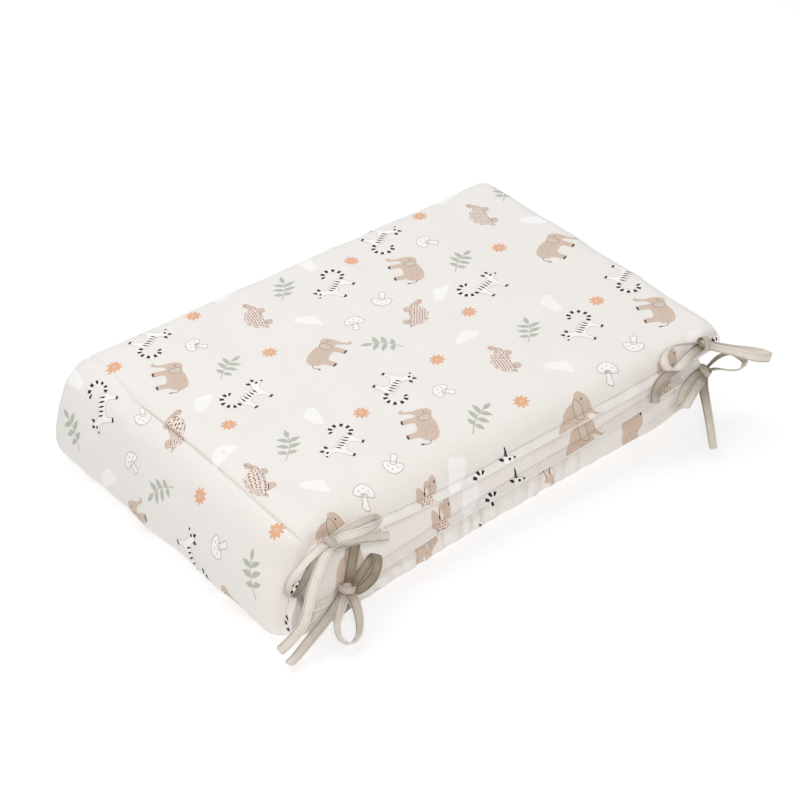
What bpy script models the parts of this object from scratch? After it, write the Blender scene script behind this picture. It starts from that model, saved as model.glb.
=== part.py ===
"""Crib bumper: one padded strip of three panels, folded like a letter, with four tied ribbon bows.

Metres, +Z up. +X runs along the folded strip, from the big rounded turn to the free end of the
top panel. -Y is the front long edge, which has a narrow stitched flange and the four bows. The
origin is on the floor, in the middle of the flat underside.
"""
import math

import bmesh
import bpy
from mathutils import Vector

# ---- Driving dimensions -------------------------------------------------------------------
END_PANEL = 0.55  # flat length of the top panel, and of the middle panel
LONG_PANEL = 0.71  # flat length of the panel that turns round the left end and lies underneath
STRIP = END_PANEL + LONG_PANEL + END_PANEL  # the whole strip, laid flat
BODY_WIDTH = 0.390  # padded width, from the topstitched line to the back seam
FLANGE = 0.010  # cloth outside the topstitched line

HALF_PAD = 0.0185  # half of a panel's thickness
LAYER_PITCH = 0.0385  # height from one layer to the next
LAYER_GAP = 0.0015  # air between two layers
CROWN = 0.0030  # how far the top panel rises in its middle
SEAM_HALF = 0.0013  # half thickness where the cloth is sewn together

FRONT_ROUND = 0.026  # the padding swells up over this depth behind the topstitched line
INNER_ROUND = 0.016  # the same on a side that lies against the next layer
BACK_ROUND = 0.019  # the same in front of the back seam
END_ROUND = 0.018  # the same at the strip's two ends
SEAM_ROUND = 0.022  # and on both sides of a cross seam

SEAM_X = -0.255  # the cross seam between the top panel and the left turn
STITCH_Y = -0.195  # the topstitched line of the front edge

LOW_Z = HALF_PAD  # middle height of the bottom layer
MID_Z = LOW_Z + LAYER_PITCH
TOP_Z = MID_Z + LAYER_PITCH

SAG_DEPTH = 0.060  # the front edge's sag fades out over this depth
GATHER = 0.0020  # height of the gathers along the bottom layer's front
GATHER_DEPTH = 0.040  # how far the gathers run in from the topstitched line
GATHER_START = END_PANEL + 0.13
GATHER_END = END_PANEL + 0.56

# Puckers along the front seam of the bottom layer. Columns: share of the height, pitch, shift.
GATHER_WAVES = ((1.0, 0.0225, 0.0), (0.6, 0.0365, 1.0), (0.4, 0.0610, 2.2))
GATHER_FADE_IN = 0.05
GATHER_FADE_OUT = 0.20
GATHER_LEAN = 0.6  # under 1, the puckers stand highest near the seam

# How far a cross seam draws the padding in: the share it takes, and for the turn its reach.
OUTER_TURN_PINCH = (0.22, 0.010)
INNER_TURN_PINCH = (0.50, 0.022)
FOLD_PINCH = 0.78
# How flat the left turn presses the inner padding. Columns: share of the turn, share pressed.
TURN_SQUEEZE = ((0.0, 0.0), (0.2, 0.18), (0.5, 0.45), (0.7, 0.62), (0.8, 0.70), (0.9, 0.62), (1.0, 0.38))
RIM_START = 0.15  # share of the flange's width left at the strip's two ends

TURN_LENGTH = 0.155  # cloth in the left turn
FOLD_LENGTH = 0.029  # cloth on each side of the tight fold, up to its seam

TAPE_HALF_WIDTH = 0.0053
TAPE_HALF = 0.0008  # half the tape's thickness
TAPE_STEP = 0.0055  # length of a straight piece of tape
TAPE_STIFF_RADIUS = 0.013  # the tape bends no tighter than this across its width
TWIST_PASSES = 3
KNOT_SIDES, KNOT_RINGS = 12, 8
SHARP_ANGLE = math.radians(50)

# The left turn's middle surface. Columns: share of the turn's cloth, x left of the seam, z.
LEFT_TURN = (
    (0.00, 0.0000, TOP_Z),
    (0.22, -0.0190, 0.0860),
    (0.43, -0.0350, 0.0620),
    (0.58, -0.0450, 0.0420),
    (0.73, -0.0485, 0.0245),
    (0.84, -0.0420, 0.0182),
    (1.00, -0.0190, LOW_Z),
)

# How the cloth lies off its straight fold. Columns: distance along the strip, shift of the
# front edge in x, y and z, shift of the back edge in x.
LAY = (
    (0.000, -0.007, -0.004, 0.0075, 0.005),
    (0.025, 0.000, -0.003, 0.0030, 0.005),
    (0.110, 0.000, -0.002, -0.0060, 0.003),
    (0.230, 0.000, 0.000, -0.0115, 0.001),
    (0.300, 0.000, 0.000, -0.0140, -0.001),
    (0.375, 0.000, 0.000, -0.0170, -0.003),
    (0.470, 0.000, 0.000, -0.0135, -0.005),
    (0.512, 0.000, 0.000, -0.0080, -0.006),
    (0.550, 0.000, 0.000, -0.0005, -0.007),
    (0.616, 0.007, 0.000, 0.0000, 0.004),
    (0.645, 0.006, -0.002, 0.0000, 0.010),
    (0.675, 0.000, -0.006, -0.0115, 0.013),
    (0.705, -0.001, -0.009, -0.0145, 0.010),
    (0.754, 0.000, -0.008, -0.0130, 0.004),
    (0.870, 0.000, -0.001, -0.0085, 0.000),
    (1.015, 0.000, 0.008, -0.0085, 0.000),
    (1.175, 0.000, 0.016, -0.0085, 0.000),
    (1.210, 0.000, 0.018, -0.0060, 0.000),
    (1.231, 0.000, 0.016, 0.0000, 0.000),
    (1.260, 0.002, 0.008, 0.0140, 0.000),
    (1.290, 0.000, 0.005, 0.0070, 0.000),
    (1.350, 0.000, 0.002, 0.0040, 0.000),
    (1.445, 0.000, 0.000, -0.0040, 0.000),
    (1.525, 0.000, 0.000, -0.0090, 0.000),
    (1.590, 0.000, 0.000, -0.0150, 0.000),
    (1.645, 0.000, 0.000, -0.0200, 0.000),
    (1.715, 0.000, 0.000, -0.0290, 0.000),
    (1.810, 0.000, 0.000, -0.0435, 0.000),
)

# The turn's cross seam lies askew. How far its front and back ends are drawn along the strip, and
# how the cloth beside it follows. Columns: distance along the strip, share.
SEAM_ASKEW = (0.026, -0.005)
SLIDE = ((0.0, 0.0), (END_PANEL, 1.0), (1.0, 0.0))

# How steeply the stitched flange hangs. Columns: distance along the strip, degrees below level.
DROOP = (
    (0.00, 20.0), (0.05, 35.0), (0.48, 35.0), (0.56, 5.0), (0.70, 5.0), (0.78, 50.0), (1.16, 50.0),
    (1.23, 5.0), (1.31, 5.0), (1.37, 35.0), (1.71, 35.0), (1.77, 12.0), (1.81, 0.0),
)

# Directions in which a tape's width can lie.
LEANING = (0.35, 0.40, 0.85)
UPRIGHT = (0.10, -0.30, 1.00)
LEVEL = (0.77, -0.64, 0.00)
FORWARD = (0.20, -0.90, 0.40)
EDGE_ON = (-0.50, -0.65, 0.55)
SLOPING = (0.28, -0.76, -0.57)
ACROSS = (0.55, -0.62, -0.56)

# The four bows. Each has a knot (centre and half sizes in x, y, z), and strands of tape. A strand
# has the directions of its width, evenly spaced from its start to its end, and the places that
# its middle line passes, in metres.
BOWS = {
    "tie_left_upper": (
        (-0.2522, -0.2120, 0.0997), (0.0075, 0.0052, 0.0060), (
            ("loop", (LEANING, LEANING, UPRIGHT, LEANING, LEANING), (
                (-0.2514, -0.2110, 0.0993), (-0.2394, -0.2085, 0.1017), (-0.2209, -0.2075, 0.1030),
                (-0.2036, -0.2080, 0.1030), (-0.1936, -0.2105, 0.1023), (-0.1922, -0.2155, 0.0998),
                (-0.2071, -0.2200, 0.1011), (-0.2281, -0.2210, 0.1044), (-0.2449, -0.2185, 0.1051),
                (-0.2526, -0.2140, 0.1004))),
            ("tail", (LEANING, LEANING, LEANING), (
                (-0.2518, -0.2130, 0.0976), (-0.2355, -0.2160, 0.0952), (-0.2174, -0.2170, 0.0912),
                (-0.1993, -0.2165, 0.0835), (-0.1808, -0.2150, 0.0748))),
            ("loop", (LEVEL, FORWARD, FORWARD, LEVEL), (
                (-0.2530, -0.2105, 0.1010), (-0.2680, -0.2125, 0.1000), (-0.2890, -0.2140, 0.0920),
                (-0.3060, -0.2160, 0.0820), (-0.3120, -0.2190, 0.0710), (-0.3050, -0.2220, 0.0670),
                (-0.2940, -0.2200, 0.0740), (-0.2840, -0.2190, 0.0850), (-0.2710, -0.2170, 0.0945),
                (-0.2550, -0.2130, 0.0965))),
            ("tail", (LEVEL, LEVEL, LEVEL), (
                (-0.2540, -0.2150, 0.0990), (-0.2660, -0.2210, 0.0980), (-0.2810, -0.2280, 0.0885),
                (-0.2920, -0.2310, 0.0710), (-0.2980, -0.2320, 0.0520), (-0.3060, -0.2310, 0.0330),
                (-0.3220, -0.2280, 0.0180), (-0.3300, -0.2260, 0.0130))),
        )),
    "tie_left_lower": (
        (-0.2453, -0.2275, 0.0487), (0.0076, 0.0064, 0.0072), (
            ("strap", (LEVEL, LEVEL), (
                (-0.2426, -0.2265, 0.0498), (-0.2363, -0.2220, 0.0615), (-0.2292, -0.2165, 0.0695),
                (-0.2236, -0.2120, 0.0753))),
            ("loop", (ACROSS, ACROSS), (
                (-0.2423, -0.2262, 0.0462), (-0.2308, -0.2260, 0.0523), (-0.2216, -0.2265, 0.0617),
                (-0.2141, -0.2275, 0.0717), (-0.2114, -0.2305, 0.0760), (-0.2126, -0.2355, 0.0759),
                (-0.2155, -0.2385, 0.0698), (-0.2217, -0.2390, 0.0582), (-0.2309, -0.2370, 0.0503),
                (-0.2380, -0.2340, 0.0471), (-0.2436, -0.2300, 0.0475))),
            ("loop", (LEVEL, FORWARD, FORWARD, LEVEL), (
                (-0.2480, -0.2280, 0.0460), (-0.2600, -0.2360, 0.0375), (-0.2710, -0.2440, 0.0265),
                (-0.2740, -0.2530, 0.0160), (-0.2660, -0.2590, 0.0100), (-0.2550, -0.2570, 0.0130),
                (-0.2480, -0.2500, 0.0235), (-0.2440, -0.2400, 0.0350), (-0.2435, -0.2300, 0.0440))),
            ("tail", (LEVEL, LEVEL, LEVEL), (
                (-0.2480, -0.2265, 0.0470), (-0.2610, -0.2300, 0.0380), (-0.2800, -0.2330, 0.0260),
                (-0.2990, -0.2350, 0.0160), (-0.3200, -0.2400, 0.0090), (-0.3310, -0.2420, 0.0075))),
        )),
    "tie_right_upper": (
        (0.2597, -0.2060, 0.1075), (0.0070, 0.0052, 0.0060), (
            ("loop", (UPRIGHT, UPRIGHT, UPRIGHT), (
                (0.2595, -0.2085, 0.1070), (0.2675, -0.2150, 0.1036), (0.2782, -0.2240, 0.1000),
                (0.2885, -0.2350, 0.0967), (0.3009, -0.2440, 0.0916), (0.3157, -0.2450, 0.0845),
                (0.3290, -0.2390, 0.0770), (0.3291, -0.2280, 0.0756), (0.3186, -0.2200, 0.0795),
                (0.3023, -0.2160, 0.0864), (0.2777, -0.2155, 0.0999), (0.2603, -0.2098, 0.1086))),
            ("loop", (EDGE_ON, EDGE_ON, LEVEL, SLOPING, SLOPING), (
                (0.2603, -0.2025, 0.1053), (0.2529, -0.2015, 0.1085), (0.2351, -0.1990, 0.1140),
                (0.2183, -0.1990, 0.1176), (0.2030, -0.2040, 0.1180), (0.1945, -0.2120, 0.1159),
                (0.1955, -0.2190, 0.1096), (0.2073, -0.2190, 0.1056), (0.2244, -0.2150, 0.1086),
                (0.2450, -0.2090, 0.1072), (0.2579, -0.2050, 0.1046))),
            ("tail", (SLOPING, SLOPING, LEVEL), (
                (0.2589, -0.2040, 0.1049), (0.2375, -0.2080, 0.1030), (0.2102, -0.2150, 0.1028),
                (0.1863, -0.2190, 0.1003), (0.1770, -0.2200, 0.0909), (0.1783, -0.2190, 0.0743))),
        )),
    "tie_right_lower": (
        (0.2627, -0.2060, 0.0699), (0.0070, 0.0058, 0.0064), (
            ("loop", (EDGE_ON, EDGE_ON), (
                (0.2647, -0.2070, 0.0702), (0.2770, -0.2105, 0.0694), (0.2932, -0.2145, 0.0625),
                (0.3037, -0.2170, 0.0599), (0.3125, -0.2165, 0.0600), (0.3181, -0.2130, 0.0620),
                (0.3121, -0.2085, 0.0688), (0.2965, -0.2060, 0.0777), (0.2824, -0.2050, 0.0782),
                (0.2685, -0.2045, 0.0717))),
            ("loop", (ACROSS, ACROSS), (
                (0.2586, -0.2070, 0.0723), (0.2412, -0.2110, 0.0738), (0.2266, -0.2150, 0.0695),
                (0.2179, -0.2185, 0.0624), (0.2150, -0.2225, 0.0548), (0.2148, -0.2275, 0.0564),
                (0.2192, -0.2290, 0.0663), (0.2356, -0.2230, 0.0724), (0.2599, -0.2090, 0.0682))),
            ("tail", (LEVEL, FORWARD, FORWARD), (
                (0.2604, -0.2070, 0.0682), (0.2532, -0.2160, 0.0580), (0.2427, -0.2320, 0.0493),
                (0.2344, -0.2470, 0.0353), (0.2297, -0.2590, 0.0126))),
        )),
}

# ---- The strip's own lines of points --------------------------------------------------------
TOP_COLUMNS = (0.0, 0.003, 0.008, 0.015, 0.025, 0.06, 0.11, 0.17, 0.23, 0.30, 0.375, 0.43, 0.48,
               0.515, 0.534, 0.544)
TURN_COLUMNS = 12
GATHER_STEP = 0.0075
FOLD_STEPS = (-1.9, -1.3, -1.0, -0.72, -0.42, -0.16, 0.0, 0.16, 0.42, 0.72, 1.0, 1.3)
MID_COLUMNS = (0.050, 0.075, 0.100, 0.125, 0.150, 0.175, 0.200, 0.225, 0.250, 0.275, 0.300, 0.325,
               0.350, 0.375, 0.400, 0.420, 0.440, 0.460, 0.480, 0.500, 0.515, 0.525, 0.533,
               0.541, 0.547, 0.55)
DEPTH_ROWS = (-FLANGE, 0.0, 0.0035, 0.0085, 0.015, 0.026, 0.045, 0.085, 0.15, 0.22, 0.29, 0.345,
              0.371, 0.380, 0.386, 0.389, BODY_WIDTH)


# ---- Small helpers --------------------------------------------------------------------------
def lookup(table, column, value):
    """Reads a column of a table at a value of its first column, on a smooth curve."""
    last = len(table) - 1
    if value <= table[0][0]:
        return table[0][column]
    if value >= table[last][0]:
        return table[last][column]
    row = next(i for i in range(last) if table[i + 1][0] >= value)

    def slope(i):
        low, high = max(i - 1, 0), min(i + 1, last)
        return (table[high][column] - table[low][column]) / (table[high][0] - table[low][0])

    span = table[row + 1][0] - table[row][0]
    u = (value - table[row][0]) / span
    start, end = table[row][column], table[row + 1][column]
    return (start * (1 + 2 * u) * (1 - u) ** 2 + slope(row) * span * u * (1 - u) ** 2
            + end * u * u * (3 - 2 * u) - slope(row + 1) * span * u * u * (1 - u))


def swell(distance, reach):
    """Rises like a quarter circle, from 0 at a seam to 1 at the given distance from it."""
    u = min(max(distance / reach, 0.0), 1.0)
    return math.sqrt(1.0 - (1.0 - u) ** 2)


# ---- The padded strip -----------------------------------------------------------------------
FOLD_SEAM = END_PANEL + LONG_PANEL
FOLD_START = FOLD_SEAM - FOLD_LENGTH
FOLD_END = FOLD_SEAM + FOLD_LENGTH
TURN_END = END_PANEL + TURN_LENGTH
TURN_END_X = SEAM_X + LEFT_TURN[-1][1]
FOLD_X = TURN_END_X + FOLD_START - TURN_END
FOLD_RADIUS = LAYER_PITCH / 2


def middle(along):
    """The middle surface's x and z at a distance along the strip, before its lay."""
    if along <= END_PANEL:
        return SEAM_X + END_PANEL - along, TOP_Z
    if along < TURN_END:
        share = (along - END_PANEL) / TURN_LENGTH
        return SEAM_X + lookup(LEFT_TURN, 1, share), lookup(LEFT_TURN, 2, share)
    if along <= FOLD_START:
        return TURN_END_X + along - TURN_END, LOW_Z
    if along < FOLD_END:
        angle = math.pi * (along - FOLD_START) / (FOLD_END - FOLD_START)
        return (FOLD_X + FOLD_RADIUS * math.sin(angle),
                LOW_Z + FOLD_RADIUS * (1 - math.cos(angle)))
    return FOLD_X - (along - FOLD_END), MID_Z


def outward(along):
    """The direction, in x and z, in which the outer cloth faces."""
    step = 0.002
    (x0, z0), (x1, z1) = middle(along - step), middle(along + step)
    length = math.hypot(x1 - x0, z1 - z0)
    return (z1 - z0) / length, (x0 - x1) / length


def slide(along, depth):
    """How far along its path a place of the strip is drawn."""
    front, back = SEAM_ASKEW
    return lookup(SLIDE, 1, along) * (front + (back - front) * max(depth, 0.0) / BODY_WIDTH)


def sag(depth):
    return (1.0 - min(max(depth, 0.0), SAG_DEPTH) / SAG_DEPTH) ** 2


def to_back(along, depth):
    """The y of a place on the padded width of the strip."""
    return STITCH_Y + depth + lookup(LAY, 2, along) * (1.0 - depth / BODY_WIDTH)


def layer_height(first, x, direction, y):
    """Height of a straight layer's middle at x and y, where its cloth starts at x = first[1]."""
    along = first[0] + direction * (x - first[1])
    shift = lookup(LAY, 2, along)
    depth = (y - STITCH_Y - shift) / (1.0 - shift / BODY_WIDTH)
    return first[2] + lookup(LAY, 3, along) * sag(depth)


def room(along, x, y, outer):
    """Half the height between a layer and its neighbour, or None where it has no neighbour."""
    top = layer_height((0.0, SEAM_X + END_PANEL, TOP_Z), x, -1, y)
    low = layer_height((TURN_END, TURN_END_X, LOW_Z), x, 1, y)
    mid = layer_height((FOLD_END, FOLD_X, MID_Z), x, -1, y)
    if along < END_PANEL and not outer:
        return (top - mid - LAYER_GAP) / 2
    if TURN_END < along < FOLD_START and not outer:
        return (mid - low - LAYER_GAP) / 2
    if along > FOLD_END:
        return ((top - mid) if outer else (mid - low)) / 2 - LAYER_GAP / 2
    return None


def gathers(along, depth):
    """Uneven puckers that the front seam pulls into the bottom layer."""
    if not GATHER_START < along < GATHER_END or depth <= 0.0 or depth > GATHER_DEPTH:
        return 0.0
    ends = swell(along - GATHER_START, GATHER_FADE_IN) * swell(GATHER_END - along, GATHER_FADE_OUT)
    wave = sum(height * math.sin(math.tau * along / pitch + shift)
               for height, pitch, shift in GATHER_WAVES)
    rise = math.sin(math.pi * (depth / GATHER_DEPTH) ** GATHER_LEAN)
    return GATHER * ends * wave * rise


def half_thickness(along, depth, outer, seam_away):
    """The padding on one side of the middle surface, seam_away from the turn's cross seam."""
    if depth <= 0.0:
        return SEAM_HALF
    beside = room(along, middle(along)[0], to_back(along, depth), outer)
    full = HALF_PAD if beside is None else max(beside, SEAM_HALF)
    if along < END_PANEL and outer:
        full += CROWN * math.sin(math.pi * depth / BODY_WIDTH)
    shape = swell(depth, FRONT_ROUND if beside is None else INNER_ROUND)
    shape *= swell(BODY_WIDTH - depth, BACK_ROUND)
    shape *= swell(min(along, STRIP - along), END_ROUND)
    turn_pinch, turn_reach = OUTER_TURN_PINCH if outer else INNER_TURN_PINCH
    shape *= 1.0 - turn_pinch * (1.0 - swell(seam_away, turn_reach))
    shape *= 1.0 - FOLD_PINCH * (1.0 - swell(abs(along - FOLD_SEAM), SEAM_ROUND))
    if END_PANEL < along < TURN_END and not outer:
        shape *= 1.0 - lookup(TURN_SQUEEZE, 1, (along - END_PANEL) / TURN_LENGTH)
    padding = SEAM_HALF + (full - SEAM_HALF) * shape + (0.0 if outer else gathers(along, depth) * shape)
    return padding if beside is None else min(padding, full)


def strip_point(along, depth, outer):
    """A point of the folded strip's surface, from its place on the strip laid flat."""
    seam_away = abs(along - END_PANEL)
    along += slide(along, depth)
    x, z = middle(along)
    hang = 0.0
    if depth < 0.0:
        depth *= RIM_START + (1.0 - RIM_START) * swell(min(along, STRIP - along), END_ROUND)
        droop = math.radians(lookup(DROOP, 1, along))
        depth, hang = depth * math.cos(droop), depth * math.sin(droop)
    face_x, face_z = outward(along)
    across = depth / BODY_WIDTH
    padding = half_thickness(along, depth, outer, seam_away)
    side = 1.0 if outer else -1.0
    x += lookup(LAY, 1, along) * sag(depth) + lookup(LAY, 4, along) * max(across, 0.0)
    y = to_back(along, max(depth, 0.0)) + min(depth, 0.0)
    z += lookup(LAY, 3, along) * sag(depth) + hang
    return Vector((x + side * padding * face_x, y, max(z + side * padding * face_z, 0.0)))


def strip_columns():
    columns = list(TOP_COLUMNS)
    columns += [END_PANEL + TURN_LENGTH * i / TURN_COLUMNS for i in range(TURN_COLUMNS + 1)]
    steps = round((GATHER_END - TURN_END) / GATHER_STEP)
    columns += [TURN_END + GATHER_STEP * (i + 1) for i in range(steps)]
    columns += [FOLD_SEAM + FOLD_LENGTH * step for step in FOLD_STEPS]
    columns += [FOLD_SEAM + distance for distance in MID_COLUMNS]
    return columns


def make_strip(collection):
    """Two grids of points, the outer and the inner cloth, closed round their rim."""
    columns = strip_columns()
    mesh = bmesh.new()
    grids = {}
    for outer in (True, False):
        grids[outer] = [[mesh.verts.new(strip_point(along, depth, outer)) for depth in DEPTH_ROWS]
                        for along in columns]
        for left, right in zip(grids[outer], grids[outer][1:]):
            for i in range(len(DEPTH_ROWS) - 1):
                corners = (left[i], right[i], right[i + 1], left[i + 1])
                mesh.faces.new(corners if outer else corners[::-1])
    rim = {}
    for outer, grid in grids.items():
        front, back = [column[0] for column in grid], [column[-1] for column in grid]
        rim[outer] = front + grid[-1][1:-1] + back[::-1] + grid[0][-2:0:-1]
    for i in range(len(rim[True])):
        j = (i + 1) % len(rim[True])
        mesh.faces.new((rim[True][j], rim[True][i], rim[False][i], rim[False][j]))
    bmesh.ops.recalc_face_normals(mesh, faces=mesh.faces)
    bmesh.ops.triangulate(mesh, faces=mesh.faces)
    return finish("bumper_pad", mesh, collection, cloth_material())


# ---- The bows -------------------------------------------------------------------------------
def smooth_route(places):
    """Places along a rounded line through the given ones, about a tape's step apart."""
    places = [Vector(place) for place in places]
    route = []
    for i in range(len(places) - 1):
        before, after = places[max(i - 1, 0)], places[min(i + 2, len(places) - 1)]
        start, end = places[i], places[i + 1]
        pieces = max(1, round((end - start).length / TAPE_STEP))
        for step in range(pieces):
            u = step / pieces
            route.append(0.5 * (2 * start + (end - before) * u
                                + (2 * before - 5 * start + 4 * end - after) * u * u
                                + (3 * start - before - 3 * end + after) * u ** 3))
    return route + [places[-1]]


def blend(directions, share):
    """The direction at a share of the way through a list of directions."""
    place = share * (len(directions) - 1)
    low = min(int(place), len(directions) - 2)
    return Vector(directions[low]).lerp(Vector(directions[low + 1]), place - low)


def over_flat_face(wanted, before, place, after):
    """The wanted width direction, turned so that the tape bends over its flat face."""
    ahead = (after - before).normalized()
    width = (wanted - ahead * wanted.dot(ahead)).normalized()
    bend = (after - place).normalized() - (place - before).normalized()
    if before == place or after == place or bend.length < 1e-4:
        return width
    sharpness = min(1.0, bend.length / (after - place).length * TAPE_STIFF_RADIUS)
    bend.normalize()
    return width - bend * width.dot(bend) * sharpness


def tape_widths(route, wanted):
    """The width direction at each place of a route, evened out along the tape."""
    last = len(route) - 1
    widths = [over_flat_face(blend(wanted, i / last), route[max(i - 1, 0)], route[i],
                             route[min(i + 1, last)]) for i in range(last + 1)]
    for _ in range(TWIST_PASSES):
        widths = [widths[max(i - 1, 0)] + widths[i] * 2 + widths[min(i + 1, last)]
                  for i in range(last + 1)]
        for i, width in enumerate(widths):
            ahead = (route[min(i + 1, last)] - route[max(i - 1, 0)]).normalized()
            widths[i] = (width - ahead * width.dot(ahead)).normalized()
    return widths


def make_strand(name, wanted, places, collection, material):
    """A flat tape swept along its route, its width turning from one direction to the next."""
    route = smooth_route(places)
    last = len(route) - 1
    mesh = bmesh.new()
    rings = []
    for i, (place, width) in enumerate(zip(route, tape_widths(route, wanted))):
        ahead = (route[min(i + 1, last)] - route[max(i - 1, 0)]).normalized()
        thick = ahead.cross(width) * TAPE_HALF
        rings.append([mesh.verts.new(place + across * width * TAPE_HALF_WIDTH + up * thick)
                      for across, up in ((1, 1), (-1, 1), (-1, -1), (1, -1))])
    for low, high in zip(rings, rings[1:]):
        for i in range(4):
            mesh.faces.new((low[i], low[(i + 1) % 4], high[(i + 1) % 4], high[i]))
    mesh.faces.new(rings[0][::-1])
    mesh.faces.new(rings[-1])
    bmesh.ops.recalc_face_normals(mesh, faces=mesh.faces)
    strand = finish(name, mesh, collection, material)
    strand.hide_render = True
    strand.display_type = "WIRE"
    return strand


def make_bow(name, centre, half_sizes, strands, collection, helpers, material):
    """A knot with its loops and tails joined to it."""
    mesh = bmesh.new()
    bmesh.ops.create_uvsphere(mesh, u_segments=KNOT_SIDES, v_segments=KNOT_RINGS, radius=1.0)
    for vert in mesh.verts:
        vert.co = Vector(centre) + Vector(c * h for c, h in zip(vert.co, half_sizes))
    bow = finish(name, mesh, collection, material)
    for number, (kind, widths, places) in enumerate(strands):
        strand = make_strand(f"{name}_{kind}_{number}", widths, places, helpers, material)
        joined = bow.modifiers.new(strand.name, "BOOLEAN")
        joined.operation = "UNION"
        joined.solver = "EXACT"
        joined.use_self = True
        joined.object = strand


# ---- Materials and objects ------------------------------------------------------------------
def plain_material(name, colour, roughness):
    material = bpy.data.materials.new(name)
    material.use_nodes = True
    shader = material.node_tree.nodes["Principled BSDF"]
    shader.inputs["Base Color"].default_value = (*colour, 1.0)
    shader.inputs["Roughness"].default_value = roughness
    shader.inputs["Metallic"].default_value = 0.0
    return material


def cloth_material():
    return plain_material("warm_white_cotton", (0.80, 0.77, 0.73), 0.9)


def tape_material():
    return plain_material("oat_tape", (0.62, 0.57, 0.47), 0.85)


def finish(name, mesh, collection, material):
    data = bpy.data.meshes.new(name)
    mesh.to_mesh(data)
    mesh.free()
    data.materials.append(material)
    data.shade_smooth()
    data.set_sharp_from_angle(angle=SHARP_ANGLE)
    item = bpy.data.objects.new(name, data)
    collection.objects.link(item)
    return item


def main():
    for item in list(bpy.data.objects):
        bpy.data.objects.remove(item, do_unlink=True)
    parts = bpy.data.collections.new("crib_bumper")
    bpy.context.scene.collection.children.link(parts)
    helpers = bpy.data.collections.new("tape_strands")
    bpy.context.scene.collection.children.link(helpers)
    make_strip(parts)
    tape = tape_material()
    for name, (centre, half_sizes, strands) in BOWS.items():
        make_bow(name, centre, half_sizes, strands, parts, helpers, tape)


main()
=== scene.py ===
"""Folded crib bumper in printed cotton, with four ribbon bows, on a pale studio floor."""
import math
from bisect import bisect_left, bisect_right
from itertools import product

import bmesh
import bpy
import numpy as np
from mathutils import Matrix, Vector
from mathutils.geometry import delaunay_2d_cdt


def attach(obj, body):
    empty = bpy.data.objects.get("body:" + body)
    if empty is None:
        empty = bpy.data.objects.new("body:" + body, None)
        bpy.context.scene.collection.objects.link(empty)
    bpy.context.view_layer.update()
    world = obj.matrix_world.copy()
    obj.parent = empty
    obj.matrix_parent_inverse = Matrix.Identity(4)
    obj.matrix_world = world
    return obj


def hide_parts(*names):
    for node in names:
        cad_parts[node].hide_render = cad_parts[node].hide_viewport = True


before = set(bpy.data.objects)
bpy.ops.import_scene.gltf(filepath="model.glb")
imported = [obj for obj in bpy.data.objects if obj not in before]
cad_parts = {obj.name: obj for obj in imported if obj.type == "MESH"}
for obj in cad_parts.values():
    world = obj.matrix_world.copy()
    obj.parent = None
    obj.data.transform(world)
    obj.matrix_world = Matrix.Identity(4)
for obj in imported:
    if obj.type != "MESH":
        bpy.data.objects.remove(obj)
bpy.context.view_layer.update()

# ---- Sizes of the strip, in metres ----------------------------------------------------------
END_PANEL = 0.55  # flat length of the top panel, and of the middle panel
LONG_PANEL = 0.71  # flat length of the panel that turns round the left end and lies underneath
STRIP = END_PANEL + LONG_PANEL + END_PANEL
BODY_WIDTH = 0.390  # padded width, from the topstitched line to the back seam
FLANGE = 0.010  # cloth outside the topstitched line

HALF_PAD = 0.0185  # half of a panel's thickness
LAYER_PITCH = 0.0385  # from one layer's middle to the next one's
LAYER_GAP = 0.0015  # left between two layers, so that they never share a surface
CROWN = 0.0030  # how far the top panel's outside arches up more
SEAM_HALF = 0.0013  # half of the cloth's thickness where there is no padding

FRONT_ROUND = 0.026  # the padding swells up over this depth behind the topstitched line
INNER_ROUND = 0.016  # the same on a side that lies against the next layer
BACK_ROUND = 0.019  # the same at the back seam
END_ROUND = 0.018  # the same at the strip's two ends
SEAM_ROUND = 0.022  # the same beside the seam in the right fold

SEAM_X = -0.255  # the turn's cross seam, before it lies askew
STITCH_Y = -0.195  # the topstitched line

LOW_Z = HALF_PAD
MID_Z = LOW_Z + LAYER_PITCH
TOP_Z = MID_Z + LAYER_PITCH

SAG_DEPTH = 0.060  # the front edge's shifts in x and z fade out over this depth
GATHER = 0.0020  # height of the gathers on the upper side of the bottom layer's front
GATHER_DEPTH = 0.040  # they end at this depth
GATHER_START = END_PANEL + 0.13
GATHER_END = END_PANEL + 0.56
# Their waves along the seam. Columns: share of the height, pitch, shift.
GATHER_WAVES = ((1.0, 0.0225, 0.0), (0.6, 0.0365, 1.0), (0.4, 0.0610, 2.2))
GATHER_FADE_IN = 0.05
GATHER_FADE_OUT = 0.20
GATHER_LEAN = 0.6  # under 1, the puckers stand highest near the seam

FRONT_FOLDS = 0.0034  # the gathered front of the bottom layer waves in and out by about this
FRONT_WAVES = ((1.0, 0.0195, 0.0), (0.7, 0.0121, 1.0), (0.5, 0.0310, 2.0))  # as GATHER_WAVES
FRONT_DRIFT = (0.0045, 0.085)  # how far these waves stray from an even pitch, and over what length
FRONT_LULL = (0.75, 0.4, 0.110)  # their mean height, its change, and over what length
# How they stand over the front's height. Columns: depth, share.
FRONT_RISE = ((-0.010, 0.12), (-0.005, 0.7), (0.001, 1.0), (0.012, 0.5), (0.024, 0.0))

# How far a cross seam draws the padding in: the share it takes, and for the turn its reach.
OUTER_TURN_PINCH = (0.22, 0.010)
INNER_TURN_PINCH = (0.50, 0.022)
FOLD_PINCH = 0.78
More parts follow.
